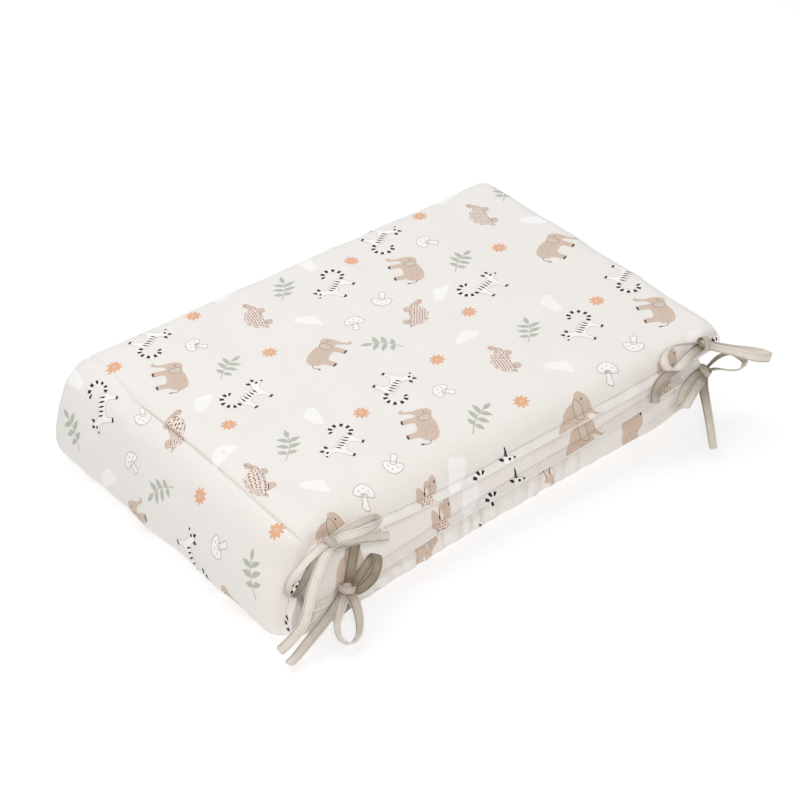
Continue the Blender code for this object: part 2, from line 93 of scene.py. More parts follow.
# How flat the left turn presses the inner padding. Columns: share of the turn, share pressed.
TURN_SQUEEZE = ((0.0, 0.0), (0.2, 0.18), (0.5, 0.45), (0.7, 0.62), (0.8, 0.70), (0.9, 0.62),
                (1.0, 0.38))
RIM_START = 0.15  # share of the flange's width left at the strip's two ends
FLANGE_BEND = 0.002  # the flange takes its slope within this distance of the topstitched line
RIM_REACH = 0.0010  # the cloth thins within this distance of its rim
FLANGE_RIM = 0.15  # share of its thickness left at the flange's rim
SEAM_RIM = 0.25  # the same at the back seam and the two ends
STITCH_PRESS = (0.65, 0.0012)  # how far the topstitching presses the cloth, and its reach

# Distances between the grid's points, along the strip and over its width, in its even parts.
COLUMN_STEP = 0.0042
ROW_STEP = 0.0045
END_MARGIN = 0.015  # the even parts start this far from the strip's two ends
SEAM_MARGIN = 0.006  # and this far from a cross seam
EVEN_DEPTHS = (0.0155, BODY_WIDTH - 0.0165)  # where the even part starts and ends over the width

# Dimples all over the cloth. Columns: height, wavelength.
DIMPLES = ((0.00085, 0.085), (0.00022, 0.034))
# Puckers that stand square to a seam: height, pitch, and how far from the seam they reach.
FRONT_PUCKERS = (0.00085, 0.0150, 0.016)
GATHERED_PUCKERS = (0.0020, 0.0150, 0.030)
BACK_PUCKERS = (0.00035, 0.0170, 0.010)
CROSS_PUCKERS = (0.00040, 0.0135, 0.012)
END_PUCKERS = (0.00040, 0.0150, 0.010)
EDGE_PUCKERS = (0.0003, 0.0170, 0.020)  # these wave the whole front edge in and out
EDGE_AWAY = 0.010  # the distance from a seam at which they are read
CREASE = (0.0005, 0.0030)  # depth and reach of the crease at a cross seam
PUCKER_START = 0.002  # within this distance of its seam a pucker rises
SMOOTH_RIM = 0.004  # within this distance of the strip's edges the relief fades
# Waves of the flange, up and down. Columns: height, seed, wavelength.
FLUTTER = ((0.0007, 90, 0.040), (0.0003, 91, 0.014))
FLUTTER_DEPTH = 0.006

TURN_LENGTH = 0.155  # flat length of the left turn
FOLD_LENGTH = 0.029  # half of the flat length of the right fold

TAPE_HALF_WIDTH = 0.0053
TAPE_HALF = 0.0008  # half of its thickness
TAPE_STEP = 0.0055  # length of the straight pieces of the solid's tape
TAPE_STIFF_RADIUS = 0.013  # a tape that bends more tightly than this bends over its flat face
TWIST_PASSES = 3
STITCHED_AT = -0.0039  # the tape's stitches, from its middle
FOLDED_AT = 0.0034  # the ridge of the cloth folded inside it

# The left turn's middle surface. Columns: share of the turn's cloth, x left of the seam, z.
LEFT_TURN = (
    (0.00, 0.0000, TOP_Z),
    (0.22, -0.0190, 0.0860),
    (0.43, -0.0350, 0.0620),
    (0.58, -0.0450, 0.0420),
    (0.73, -0.0485, 0.0245),
    (0.84, -0.0420, 0.0182),
    (1.00, -0.0190, LOW_Z),
)

# How the cloth lies off its straight fold. Columns: distance along the strip, shift of the
# front edge in x, y and z, shift of the back edge in x.
LAY = (
    (0.000, -0.007, -0.004, 0.0075, 0.005),
    (0.025, 0.000, -0.003, 0.0030, 0.005),
    (0.110, 0.000, -0.002, -0.0060, 0.003),
    (0.230, 0.000, 0.000, -0.0115, 0.001),
    (0.300, 0.000, 0.000, -0.0140, -0.001),
    (0.375, 0.000, 0.000, -0.0170, -0.003),
    (0.470, 0.000, 0.000, -0.0135, -0.005),
    (0.512, 0.000, 0.000, -0.0080, -0.006),
    (0.550, 0.000, 0.000, -0.0005, -0.007),
    (0.616, 0.007, 0.000, 0.0000, 0.004),
    (0.645, 0.006, -0.002, 0.0000, 0.010),
    (0.675, 0.000, -0.006, -0.0115, 0.013),
    (0.705, -0.001, -0.009, -0.0145, 0.010),
    (0.754, 0.000, -0.008, -0.0130, 0.004),
    (0.870, 0.000, -0.001, -0.0085, 0.000),
    (1.015, 0.000, 0.008, -0.0085, 0.000),
    (1.175, 0.000, 0.016, -0.0085, 0.000),
    (1.210, 0.000, 0.018, -0.0060, 0.000),
    (1.231, 0.000, 0.016, 0.0000, 0.000),
    (1.260, 0.002, 0.008, 0.0140, 0.000),
    (1.290, 0.000, 0.005, 0.0070, 0.000),
    (1.350, 0.000, 0.002, 0.0040, 0.000),
    (1.445, 0.000, 0.000, -0.0040, 0.000),
    (1.525, 0.000, 0.000, -0.0090, 0.000),
    (1.590, 0.000, 0.000, -0.0150, 0.000),
    (1.645, 0.000, 0.000, -0.0200, 0.000),
    (1.715, 0.000, 0.000, -0.0290, 0.000),
    (1.810, 0.000, 0.000, -0.0435, 0.000),
)

# The turn's cross seam lies askew. How far its front and back ends are drawn along the strip, and
# how the cloth beside it follows. Columns: distance along the strip, share.
SEAM_ASKEW = (0.026, -0.005)
SLIDE = ((0.0, 0.0), (END_PANEL, 1.0), (1.0, 0.0))

# How steeply the stitched flange hangs. Columns: distance along the strip, degrees below level.
DROOP = (
    (0.00, 20.0), (0.05, 35.0), (0.48, 35.0), (0.56, 5.0), (0.70, 5.0), (0.78, 78.0), (1.16, 78.0),
    (1.23, 5.0), (1.31, 5.0), (1.37, 35.0), (1.71, 35.0), (1.77, 12.0), (1.81, 0.0),
)

# Directions in which a tape's width can lie.
LEANING = (0.35, 0.40, 0.85)
UPRIGHT = (0.10, -0.30, 1.00)
LEVEL = (0.77, -0.64, 0.00)
FORWARD = (0.20, -0.90, 0.40)
EDGE_ON = (-0.50, -0.65, 0.55)
SLOPING = (0.28, -0.76, -0.57)
ACROSS = (0.55, -0.62, -0.56)

# The four bows. Each has a knot (centre and half sizes in x, y, z), and strands of tape. A strand
# has the directions of its width, evenly spaced from its start to its end, and the places that
# its middle line passes, in metres.
BOWS = {
    "tie_left_upper": (
        (-0.2522, -0.2120, 0.0997), (0.0075, 0.0052, 0.0060), (
            ("loop", (LEANING, LEANING, UPRIGHT, LEANING, LEANING), (
                (-0.2514, -0.2110, 0.0993), (-0.2394, -0.2085, 0.1017), (-0.2209, -0.2075, 0.1030),
                (-0.2036, -0.2080, 0.1030), (-0.1936, -0.2105, 0.1023), (-0.1922, -0.2155, 0.0998),
                (-0.2071, -0.2200, 0.1011), (-0.2281, -0.2210, 0.1044), (-0.2449, -0.2185, 0.1051),
                (-0.2526, -0.2140, 0.1004))),
            ("tail", (LEANING, LEANING, LEANING), (
                (-0.2518, -0.2130, 0.0976), (-0.2355, -0.2160, 0.0952), (-0.2174, -0.2170, 0.0912),
                (-0.1993, -0.2165, 0.0835), (-0.1808, -0.2150, 0.0748))),
            ("loop", (LEVEL, FORWARD, FORWARD, LEVEL), (
                (-0.2530, -0.2105, 0.1010), (-0.2680, -0.2125, 0.1000), (-0.2890, -0.2140, 0.0920),
                (-0.3060, -0.2160, 0.0820), (-0.3120, -0.2190, 0.0710), (-0.3050, -0.2220, 0.0670),
                (-0.2940, -0.2200, 0.0740), (-0.2840, -0.2190, 0.0850), (-0.2710, -0.2170, 0.0945),
                (-0.2550, -0.2130, 0.0965))),
            ("tail", (LEVEL, LEVEL, LEVEL), (
                (-0.2540, -0.2150, 0.0990), (-0.2660, -0.2210, 0.0980), (-0.2810, -0.2280, 0.0885),
                (-0.2920, -0.2310, 0.0710), (-0.2980, -0.2320, 0.0520), (-0.3060, -0.2310, 0.0330),
                (-0.3220, -0.2280, 0.0180), (-0.3300, -0.2260, 0.0130))),
        )),
    "tie_left_lower": (
        (-0.2453, -0.2275, 0.0487), (0.0076, 0.0064, 0.0072), (
            ("strap", (LEVEL, LEVEL), (
                (-0.2426, -0.2265, 0.0498), (-0.2363, -0.2220, 0.0615), (-0.2292, -0.2165, 0.0695),
                (-0.2236, -0.2120, 0.0753), (-0.2183, -0.2078, 0.0812))),
            ("loop", (ACROSS, ACROSS), (
                (-0.2423, -0.2262, 0.0462), (-0.2308, -0.2260, 0.0523), (-0.2216, -0.2265, 0.0617),
                (-0.2141, -0.2275, 0.0717), (-0.2114, -0.2305, 0.0760), (-0.2126, -0.2355, 0.0759),
                (-0.2155, -0.2385, 0.0698), (-0.2217, -0.2390, 0.0582), (-0.2309, -0.2370, 0.0503),
                (-0.2380, -0.2340, 0.0471), (-0.2436, -0.2300, 0.0475))),
            ("loop", (LEVEL, FORWARD, FORWARD, LEVEL), (
                (-0.2480, -0.2280, 0.0460), (-0.2600, -0.2360, 0.0375), (-0.2710, -0.2440, 0.0265),
                (-0.2740, -0.2530, 0.0160), (-0.2660, -0.2590, 0.0100), (-0.2550, -0.2570, 0.0130),
                (-0.2480, -0.2500, 0.0235), (-0.2440, -0.2400, 0.0350), (-0.2435, -0.2300, 0.0440))),
            ("tail", (LEVEL, LEVEL, LEVEL), (
                (-0.2480, -0.2265, 0.0470), (-0.2610, -0.2300, 0.0380), (-0.2800, -0.2330, 0.0260),
                (-0.2990, -0.2350, 0.0160), (-0.3200, -0.2400, 0.0090), (-0.3310, -0.2420, 0.0075))),
        )),
    "tie_right_upper": (
        (0.2597, -0.2060, 0.1075), (0.0070, 0.0052, 0.0060), (
            ("loop", (UPRIGHT, UPRIGHT, UPRIGHT), (
                (0.2595, -0.2085, 0.1070), (0.2675, -0.2150, 0.1036), (0.2782, -0.2240, 0.1000),
                (0.2885, -0.2350, 0.0967), (0.3009, -0.2440, 0.0916), (0.3157, -0.2450, 0.0845),
                (0.3290, -0.2390, 0.0770), (0.3291, -0.2280, 0.0756), (0.3186, -0.2200, 0.0795),
                (0.3023, -0.2160, 0.0864), (0.2777, -0.2155, 0.0999), (0.2603, -0.2098, 0.1086))),
            ("loop", (EDGE_ON, EDGE_ON, LEVEL, SLOPING, SLOPING), (
                (0.2603, -0.2025, 0.1053), (0.2529, -0.2015, 0.1085), (0.2351, -0.1990, 0.1140),
                (0.2183, -0.1990, 0.1176), (0.2030, -0.2040, 0.1180), (0.1945, -0.2120, 0.1159),
                (0.1955, -0.2190, 0.1096), (0.2073, -0.2190, 0.1056), (0.2244, -0.2150, 0.1086),
                (0.2450, -0.2090, 0.1072), (0.2579, -0.2050, 0.1046))),
            ("tail", (SLOPING, SLOPING, LEVEL), (
                (0.2589, -0.2040, 0.1049), (0.2375, -0.2080, 0.1030), (0.2102, -0.2150, 0.1028),
                (0.1863, -0.2190, 0.1003), (0.1770, -0.2200, 0.0909), (0.1783, -0.2190, 0.0743))),
        )),
    "tie_right_lower": (
        (0.2627, -0.2060, 0.0699), (0.0070, 0.0058, 0.0064), (
            ("loop", (EDGE_ON, EDGE_ON), (
                (0.2647, -0.2070, 0.0702), (0.2770, -0.2105, 0.0694), (0.2932, -0.2145, 0.0625),
                (0.3037, -0.2170, 0.0599), (0.3125, -0.2165, 0.0600), (0.3181, -0.2130, 0.0620),
                (0.3121, -0.2085, 0.0688), (0.2965, -0.2060, 0.0777), (0.2824, -0.2050, 0.0782),
                (0.2685, -0.2045, 0.0717))),
            ("loop", (ACROSS, ACROSS), (
                (0.2586, -0.2070, 0.0723), (0.2412, -0.2110, 0.0738), (0.2266, -0.2150, 0.0695),
                (0.2179, -0.2185, 0.0624), (0.2150, -0.2225, 0.0548), (0.2148, -0.2275, 0.0564),
                (0.2192, -0.2290, 0.0663), (0.2356, -0.2230, 0.0724), (0.2599, -0.2090, 0.0682))),
            ("tail", (LEVEL, FORWARD, FORWARD), (
                (0.2604, -0.2070, 0.0682), (0.2532, -0.2160, 0.0580), (0.2427, -0.2320, 0.0493),
                (0.2344, -0.2470, 0.0353), (0.2297, -0.2590, 0.0126))),
        )),
}

# The way round each knot's band: the direction of the bow where it passes through the knot.
KNOT_WAYS = {
    "tie_left_upper": (0.70, 0.05, 0.55),
    "tie_left_lower": (0.35, 0.20, 0.90),
    "tie_right_upper": (0.90, -0.10, -0.25),
    "tie_right_lower": (0.55, -0.15, 0.80),
}

# Painted shade: how far each strand goes from the tape's pale colour to its dark one, evenly spaced
# from its start to its end; darkest in the folds, and where the layers above keep the light off.
PAINTED_SHADES = {
    "tie_left_upper": ((0.35, 0.05, 0.0, 0.1, 0.3, 0.1, 0.0, 0.2), (0.45, 0.25, 0.15),
                       (0.3, 0.05, 0.0, 0.1, 0.9, 0.7, 0.4, 0.5), (0.25, 0.0, 0.0, 0.1, 0.15)),
    "tie_left_lower": ((1.0, 0.9, 1.0), (1.0, 0.75, 0.75, 1.0, 0.9, 0.95, 0.95, 1.0),
                       (0.65, 0.25, 0.05, 0.05, 0.1, 0.25, 0.35, 0.6), (0.85, 0.5, 0.3, 0.15)),
    "tie_right_upper": ((0.2, 0.05, 0.05, 0.1, 0.1, 0.15, 0.2, 0.5),
                        (0.9, 0.4, 0.2, 0.0, 0.1, 0.5, 0.9),
                        (1.0, 0.75, 0.5, 0.55, 0.8, 0.5)),
    "tie_right_lower": ((0.7, 0.4, 0.2, 0.2, 0.6, 0.9, 1.0), (0.9, 0.35, 0.2, 0.1, 0.2, 0.45, 1.0),
                        (0.95, 0.55, 0.35, 0.2)),
}
KNOT_PAINTED_SHADE = 0.5  # the same painted shade for the knots themselves
KNOT_REACH = 0.016  # the strands get painted shade towards the knot within this distance of its centre
NEAR_KNOT_PAINTED_SHADE = 0.4  # how much painted shade they get there
FACING_DOWN_PAINTED_SHADE = 0.3  # painted shade: how much darker the parts that face down are
MOST_PAINTED_SHADE = 1.1  # the most painted shade that a point can get

# ---- Camera, light and floor ----------------------------------------------------------------
FLOOR_Z = -0.0004  # just under the part, so that the two share no surface


def set_up_studio():
    """The camera, two soft lights, a pale world and a floor of white paper."""
    lens = bpy.data.cameras.new("camera")
    lens.sensor_width, lens.lens = 36.0, 137.88
    camera = bpy.data.objects.new("camera", lens)
    camera.location = (-1.7004, -2.0617, 1.9523)
    camera.rotation_euler = (math.radians(54.4), 0.0, math.radians(-39.7))
    bpy.context.scene.collection.objects.link(camera)
    bpy.context.scene.camera = camera
    bpy.context.scene.view_settings.view_transform = "Standard"

    world = bpy.data.worlds.new("studio")
    bpy.context.scene.world = world
    world.use_nodes = True
    sky = world.node_tree.nodes["Background"]
    sky.inputs["Color"].default_value = (1.0, 0.995, 0.99, 1.0)
    sky.inputs["Strength"].default_value = 0.42

    for name, place, size, power, colour in (
            ("overhead_softbox", (0.0, 0.9, 2.4), 1.9, 34.0, (0.97, 0.99, 1.0)),
            ("front_softbox", (-1.5, -2.1, 2.1), 0.6, 36.0, (1.0, 0.89, 0.83))):
        light = bpy.data.lights.new(name, "AREA")
        light.shape, light.size, light.energy = "SQUARE", size, power
        light.color = colour
        lamp = bpy.data.objects.new(name, light)
        lamp.location = place
        lamp.rotation_euler = (-Vector(place)).to_track_quat("-Z", "Y").to_euler()
        bpy.context.scene.collection.objects.link(lamp)

    deselect()
    bpy.ops.mesh.primitive_plane_add(size=8.0, location=(0.0, 0.0, FLOOR_Z))
    floor = bpy.context.object
    floor.name = "floor"
    paper = Finish("white_paper", (0.42, 0.42, 0.42), 0.9)
    paper.shader.inputs["Emission Color"].default_value = (1.0, 1.0, 1.0, 1.0)
    paper.shader.inputs["Emission Strength"].default_value = 0.62
    floor.data.materials.append(paper.material)


def deselect():
    """Leaves nothing selected, because an operator acts on all that is."""
    for item in bpy.context.selected_objects:
        item.select_set(False)


# ---- Finishes -------------------------------------------------------------------------------
class Wire:
    """A socket of a material, for writing its maths as expressions."""

    def __init__(self, finish, socket):
        self.finish, self.socket = finish, socket

    def maths(self, operation, first, second):
        return self.finish.node("ShaderNodeMath", {"operation": operation},
                                {0: first, 1: second})[0]

    def __add__(self, other):
        return self.maths("ADD", self, other)

    def __sub__(self, other):
        return self.maths("SUBTRACT", self, other)

    def __mul__(self, other):
        return self.maths("MULTIPLY", self, other)

    def __rsub__(self, other):
        return self.maths("SUBTRACT", other, self)

    __radd__, __rmul__ = __add__, __mul__


class Finish:
    """A material with one shader, and a way to add nodes to it."""

    def __init__(self, name, colour, roughness):
        self.material = bpy.data.materials.new(name)
        self.material.use_nodes = True
        self.tree = self.material.node_tree
        self.shader = self.tree.nodes["Principled BSDF"]
        self.shader.inputs["Base Color"].default_value = (*colour, 1.0)
        self.shader.inputs["Roughness"].default_value = roughness

    def node(self, kind, settings, sockets):
        """Adds any node, with its settings and the values or links of its sockets."""
        made = self.tree.nodes.new(kind)
        for name, value in settings.items():
            setattr(made, name, value)
        for key, value in sockets.items():
            if isinstance(value, Wire):
                self.tree.links.new(value.socket, made.inputs[key])
            else:
                made.inputs[key].default_value = value
        return [Wire(self, socket) for socket in made.outputs]

    def vector(self, x, y, z):
        """Three values as one vector."""
        return self.node("ShaderNodeCombineXYZ", {}, {0: x, 1: y, 2: z})[0]

    def noise(self, place, scale, detail):
        """A soft irregular value around a half."""
        return self.node("ShaderNodeTexNoise", {"noise_dimensions": "3D"},
                         {"Vector": place, "Scale": scale, "Detail": detail})[0]

    def wave(self, place, pitch):
        """Rises and falls between 0 and 1 along a value."""
        turn = place * (math.tau / pitch)
        return self.node("ShaderNodeMath", {"operation": "SINE"}, {0: turn})[0] * 0.5 + 0.5

    def bump(self, height, distance):
        """Lets the surface stand up by a height, in units of the distance."""
        self.feed("Normal", self.node("ShaderNodeBump", {}, {"Strength": 1.0, "Distance": distance,
                                                             "Height": height})[0])

    def tone(self, share, pale, dark):
        """Colours the surface between a pale and a dark colour."""
        mixed = self.node("ShaderNodeMix", {"data_type": "RGBA", "clamp_factor": True},
                          {0: share, 6: (*pale, 1.0), 7: (*dark, 1.0)})
        self.feed("Base Color", mixed[2])

    def feed(self, name, wire):
        """Links a value to one of the shader's own sockets."""
        self.tree.links.new(wire.socket, self.shader.inputs[name])


def linear(red, green, blue):
    """A colour on the 0 to 255 scale of a screen, as light."""
    return tuple((c / 255 / 12.92) if c < 10 else ((c / 255 + 0.055) / 1.055) ** 2.4
                 for c in (red, green, blue))


YARN_LONG, YARN_FINE = 160.0, 900.0  # unevenness of a yarn, in waves a metre along it and across
CLOTH_PATCHES = 14.0  # waves a metre of the cloth's larger unevenness
SHADED_CLOTH = 0.90  # the darkest tone of a cloth, as a share of its colour
# A cloth's or thread's yarns: their pitch, their relief, and how uneven their tone is.
PLAIN_WEAVE = (0.0007, 0.00004, 0.30)
SEWING_THREAD = (0.0005, 0.00004, 0.30)

TWILL_PITCH = 0.0009
SLUB_FINE, SLUB_LONG = 1500.0, 120.0  # unevenness of the tape's yarn, in waves a metre
TAPE_CREASES = 110.0  # waves a metre of its small creases
TAPE_RELIEF = 0.00016
TAPE_STITCH_PITCH = 0.0026
SEAM_WIDE, THREAD_WIDE, FOLD_WIDE = 0.00055, 0.00028, 0.00050  # half widths of the tape's lines
# The tape's own colour, and the dark colour that its painted shade and its uneven yarn go towards.
TAPE_PALE, TAPE_DARK = (235, 230, 221), (122, 109, 88)


def woven(name, colour, pitch, relief, mottle):
    """Cloth of a plain weave: crossing threads, uneven yarn and a soft sheen."""
    finish = Finish(name, colour, 0.85)
    flat = finish.node("ShaderNodeUVMap", {"uv_map": "flat"}, {})[0]
    u, v, _ = finish.node("ShaderNodeSeparateXYZ", {}, {0: flat})
    yarn = finish.noise(finish.vector(u * YARN_LONG, v * YARN_FINE, 0.0), 1.0, 2.0)
    cross_yarn = finish.noise(finish.vector(u * YARN_FINE, v * YARN_LONG, 4.0), 1.0, 2.0)
    patchy = finish.noise(flat, CLOTH_PATCHES, 3.0)
    threads = finish.wave(u, pitch) * 0.5 + finish.wave(v, pitch) * 0.5
    finish.bump(threads + (yarn + cross_yarn) * 0.8, relief)
    finish.tone((yarn + cross_yarn) * mottle + patchy * mottle, colour,
                tuple(c * SHADED_CLOTH for c in colour))
    finish.feed("Roughness", 0.78 + patchy * 0.14)
    finish.shader.inputs["Sheen Weight"].default_value = 0.15
    finish.shader.inputs["Sheen Roughness"].default_value = 0.6
    finish.shader.inputs["Specular IOR Level"].default_value = 0.25
    return finish.material


def stitched_tape():
    """Oat twill folded over its width, with the line of stitches that holds the fold."""
    finish = Finish("oat_cotton_tape", linear(216, 210, 197), 0.8)
    flat = finish.node("ShaderNodeUVMap", {"uv_map": "flat"}, {})[0]
    across, along, _ = finish.node("ShaderNodeSeparateXYZ", {}, {0: flat})

    def line(place, half):
        """One on a line along the tape, fading to nothing beside it."""
        away = finish.node("ShaderNodeMath", {"operation": "ABSOLUTE"}, {0: across - place})[0]
        return finish.node("ShaderNodeMapRange", {"interpolation_type": "SMOOTHSTEP"},
                           {0: away, 1: half * 0.3, 2: half, 3: 1.0, 4: 0.0})[0]

    twill = finish.wave(across + along, TWILL_PITCH)
    slub = finish.noise(finish.vector(across * SLUB_FINE, along * SLUB_LONG, 0.0), 1.0, 3.0)
    crush = finish.noise(flat, TAPE_CREASES, 2.0)
    seam = line(STITCHED_AT, SEAM_WIDE)
    thread = line(STITCHED_AT, THREAD_WIDE) * finish.wave(along, TAPE_STITCH_PITCH)
    fold = line(FOLDED_AT, FOLD_WIDE)
    finish.bump(twill * 0.35 + slub * 0.9 + crush * 1.6 - seam * 1.6 + thread * 1.0 - fold * 0.5,
                TAPE_RELIEF)
    # The point attribute "shade" is painted shade. The tone also darkens along the stitched groove and
    # the crease of the fold inside it: painted shade there too.
    shaded = finish.node("ShaderNodeAttribute", {"attribute_name": "shade"}, {})[2]
    finish.tone(seam * 0.55 - thread * 0.35 + fold * 0.25 + (slub + crush) * 0.28 - 0.24
                + shaded * 0.85, linear(*TAPE_PALE), linear(*TAPE_DARK))
    finish.feed("Roughness", 0.70 + slub * 0.2)
    finish.shader.inputs["Sheen Weight"].default_value = 0.15
    finish.shader.inputs["Specular IOR Level"].default_value = 0.3
    return finish.material


# ---- The strip's folded shape ---------------------------------------------------------------
def lookup(table, column, value):
    """Reads a column of a table at a value of its first column, on a smooth curve."""
    last = len(table) - 1
    if value <= table[0][0]:
        return table[0][column]
    if value >= table[last][0]:
        return table[last][column]
    row = next(i for i in range(last) if table[i + 1][0] >= value)

    def slope(i):
        low, high = max(i - 1, 0), min(i + 1, last)
        return (table[high][column] - table[low][column]) / (table[high][0] - table[low][0])

    span = table[row + 1][0] - table[row][0]
    u = (value - table[row][0]) / span
    start, end = table[row][column], table[row + 1][column]
    return (start * (1 + 2 * u) * (1 - u) ** 2 + slope(row) * span * u * (1 - u) ** 2
            + end * u * u * (3 - 2 * u) - slope(row + 1) * span * u * u * (1 - u))


def swell(distance, reach):
    """Rises like a quarter circle, from 0 at a seam to 1 at the given distance from it."""
    u = np.clip(np.asarray(distance, float) / reach, 0.0, 1.0)
    return np.sqrt(1.0 - (1.0 - u) ** 2)


FOLD_SEAM = END_PANEL + LONG_PANEL
FOLD_START = FOLD_SEAM - FOLD_LENGTH
FOLD_END = FOLD_SEAM + FOLD_LENGTH
TURN_END = END_PANEL + TURN_LENGTH
TURN_END_X = SEAM_X + LEFT_TURN[-1][1]
FOLD_X = TURN_END_X + FOLD_START - TURN_END
FOLD_RADIUS = LAYER_PITCH / 2


def middle(along):
    """The middle surface's x and z at a distance along the strip, before its lay."""
    if along <= END_PANEL:
        return SEAM_X + END_PANEL - along, TOP_Z
    if along < TURN_END:
        share = (along - END_PANEL) / TURN_LENGTH
        return SEAM_X + lookup(LEFT_TURN, 1, share), lookup(LEFT_TURN, 2, share)
    if along <= FOLD_START:
        return TURN_END_X + along - TURN_END, LOW_Z
    if along < FOLD_END:
        angle = math.pi * (along - FOLD_START) / (FOLD_END - FOLD_START)
        return (FOLD_X + FOLD_RADIUS * math.sin(angle),
                LOW_Z + FOLD_RADIUS * (1 - math.cos(angle)))
    return FOLD_X - (along - FOLD_END), MID_Z


def outward(along):
    """The direction, in x and z, in which the outer cloth faces."""
    step = 0.002
    (x0, z0), (x1, z1) = middle(along - step), middle(along + step)
    length = math.hypot(x1 - x0, z1 - z0)
    return (z1 - z0) / length, (x0 - x1) / length


def sag(depth):
    """How much of the front edge's shift is left at a depth."""
    return (1.0 - np.clip(depth, 0.0, SAG_DEPTH) / SAG_DEPTH) ** 2


def to_back(along, depth):
    """The y of a place on the padded width of the strip."""
    return STITCH_Y + depth + lookup(LAY, 2, along) * (1.0 - depth / BODY_WIDTH)


def layer_height(first, x, direction, y):
    """Height of a straight layer's middle at x and y. Its start is a distance along, an x and a z."""
    along = first[0] + direction * (x - first[1])
    shift = lookup(LAY, 2, along)
    depth = (y - STITCH_Y - shift) / (1.0 - shift / BODY_WIDTH)
    return first[2] + lookup(LAY, 3, along) * sag(depth)


def room(along, x, y, outer):
    """Half the height between a layer and its neighbour, or None where it has no neighbour."""
    top = layer_height((0.0, SEAM_X + END_PANEL, TOP_Z), x, -1, y)
    low = layer_height((TURN_END, TURN_END_X, LOW_Z), x, 1, y)
    mid = layer_height((FOLD_END, FOLD_X, MID_Z), x, -1, y)
    if along < END_PANEL and not outer:
        return (top - mid - LAYER_GAP) / 2
    if TURN_END < along < FOLD_START and not outer:
        return (mid - low - LAYER_GAP) / 2
    if along > FOLD_END:
        return ((top - mid) if outer else (mid - low)) / 2 - LAYER_GAP / 2
    return None


def front_fade(along):
    """Fades the gathers and folds of the bottom layer's front at their two ends."""
    return swell(along - GATHER_START, GATHER_FADE_IN) * swell(GATHER_END - along, GATHER_FADE_OUT)


def waves_along(place, columns):
    """A sum of even waves, from their shares, pitches and shifts."""
    return sum(share * math.sin(math.tau * place / pitch + shift) for share, pitch, shift in columns)


def gathers(along, depth):
    """Uneven puckers that the front seam pulls into the bottom layer."""
    if not GATHER_START < along < GATHER_END:
        return np.zeros_like(depth)
    rise = np.sin(math.pi * np.clip(depth / GATHER_DEPTH, 0.0, 1.0) ** GATHER_LEAN)
    return GATHER * front_fade(along) * waves_along(along, GATHER_WAVES) * rise


def half_thickness(along, depth, outer, beside):
    """The padding on one side of the middle surface, before the turn's seam draws it in."""
    full = HALF_PAD if beside is None else np.maximum(beside, SEAM_HALF)
    if along < END_PANEL and outer:
        full = full + CROWN * np.sin(math.pi * np.clip(depth, 0.0, 1.0) / BODY_WIDTH)
    shape = (swell(depth, FRONT_ROUND if beside is None else INNER_ROUND)
             * swell(BODY_WIDTH - depth, BACK_ROUND))
    shape = shape * swell(min(along, STRIP - along), END_ROUND)
    shape = shape * (1.0 - FOLD_PINCH * (1.0 - swell(abs(along - FOLD_SEAM), SEAM_ROUND)))
    if END_PANEL < along < TURN_END and not outer:
        shape = shape * (1.0 - lookup(TURN_SQUEEZE, 1, (along - END_PANEL) / TURN_LENGTH))
    full = SEAM_HALF + (full - SEAM_HALF) * shape
    if not outer:
        full = full + gathers(along, depth) * shape
    return np.where(depth <= 0.0, SEAM_HALF, full)


# ---- The cloth's fine relief ----------------------------------------------------------------
UNEVEN_STRETCHES = (1.0, 0.71, 1.43, 0.53, 1.9)  # wavelengths that together never repeat
UNEVEN_SUM = 1.9  # the usual height of their sum
DIMPLE_WAVES = 7
DIMPLE_SUM = 3.2  # the usual height of their sum
# Puckers stray from their even pitch by a share of it, and over so many pitches.
PUCKER_STRAY = (0.35, 5.0)
# A second, shorter wave on each pucker: its share, its pitch as a share of the first one's, its shift.
PUCKER_SECOND = (0.5, 0.62, 1.3)
# Their strength comes and goes: its usual value, its change, and over how many pitches.
PUCKER_STRENGTH = (0.55, 0.6, 7.0)
PUCKER_LIMITS = (0.05, 1.3)  # its least and its most


def uneven(place, seed, wavelength):
    """A smooth irregular wave of about one high, along a line."""
    dice = np.random.RandomState(seed)
    value = np.zeros_like(np.asarray(place, float))
    for stretch in UNEVEN_STRETCHES:
        value = value + dice.uniform(0.5, 1.0) * np.sin(
            math.tau * place / (wavelength * stretch) + dice.uniform(0.0, math.tau))
    return value / UNEVEN_SUM


def dimples(along, depth, seed, wavelength):
    """A smooth irregular relief of about one high, over the cloth."""
    dice = np.random.RandomState(seed)
    value = 0.0
    for turn in range(DIMPLE_WAVES):
        angle = math.pi * (turn + dice.uniform(0.0, 1.0)) / DIMPLE_WAVES
        length = wavelength * dice.uniform(0.7, 1.4)
        value = value + np.sin(math.tau * (along * math.cos(angle) + depth * math.sin(angle))
                               / length + dice.uniform(0.0, math.tau))
    return value / DIMPLE_SUM


def puckers(along, from_seam, seed, sizes):
    """Short wrinkles that stand square to a seam and die out away from it."""
    height, pitch, reach = sizes
    stray, stray_pitches = PUCKER_STRAY
    place = along + stray * pitch * uneven(along, seed, pitch * stray_pitches)
    second, shorter, shift = PUCKER_SECOND
    wave = (np.sin(math.tau * place / pitch)
            + second * np.sin(math.tau * place / (pitch * shorter) + shift))
    usual, change, pitches = PUCKER_STRENGTH
    strength = np.clip(usual + change * uneven(along, seed + 1, pitch * pitches), *PUCKER_LIMITS)
    near = np.clip(from_seam, 0.0, 1.0)
    fade = np.exp(-near / reach)
    return height * (wave * strength * fade * (1.0 - np.exp(-near / PUCKER_START)))


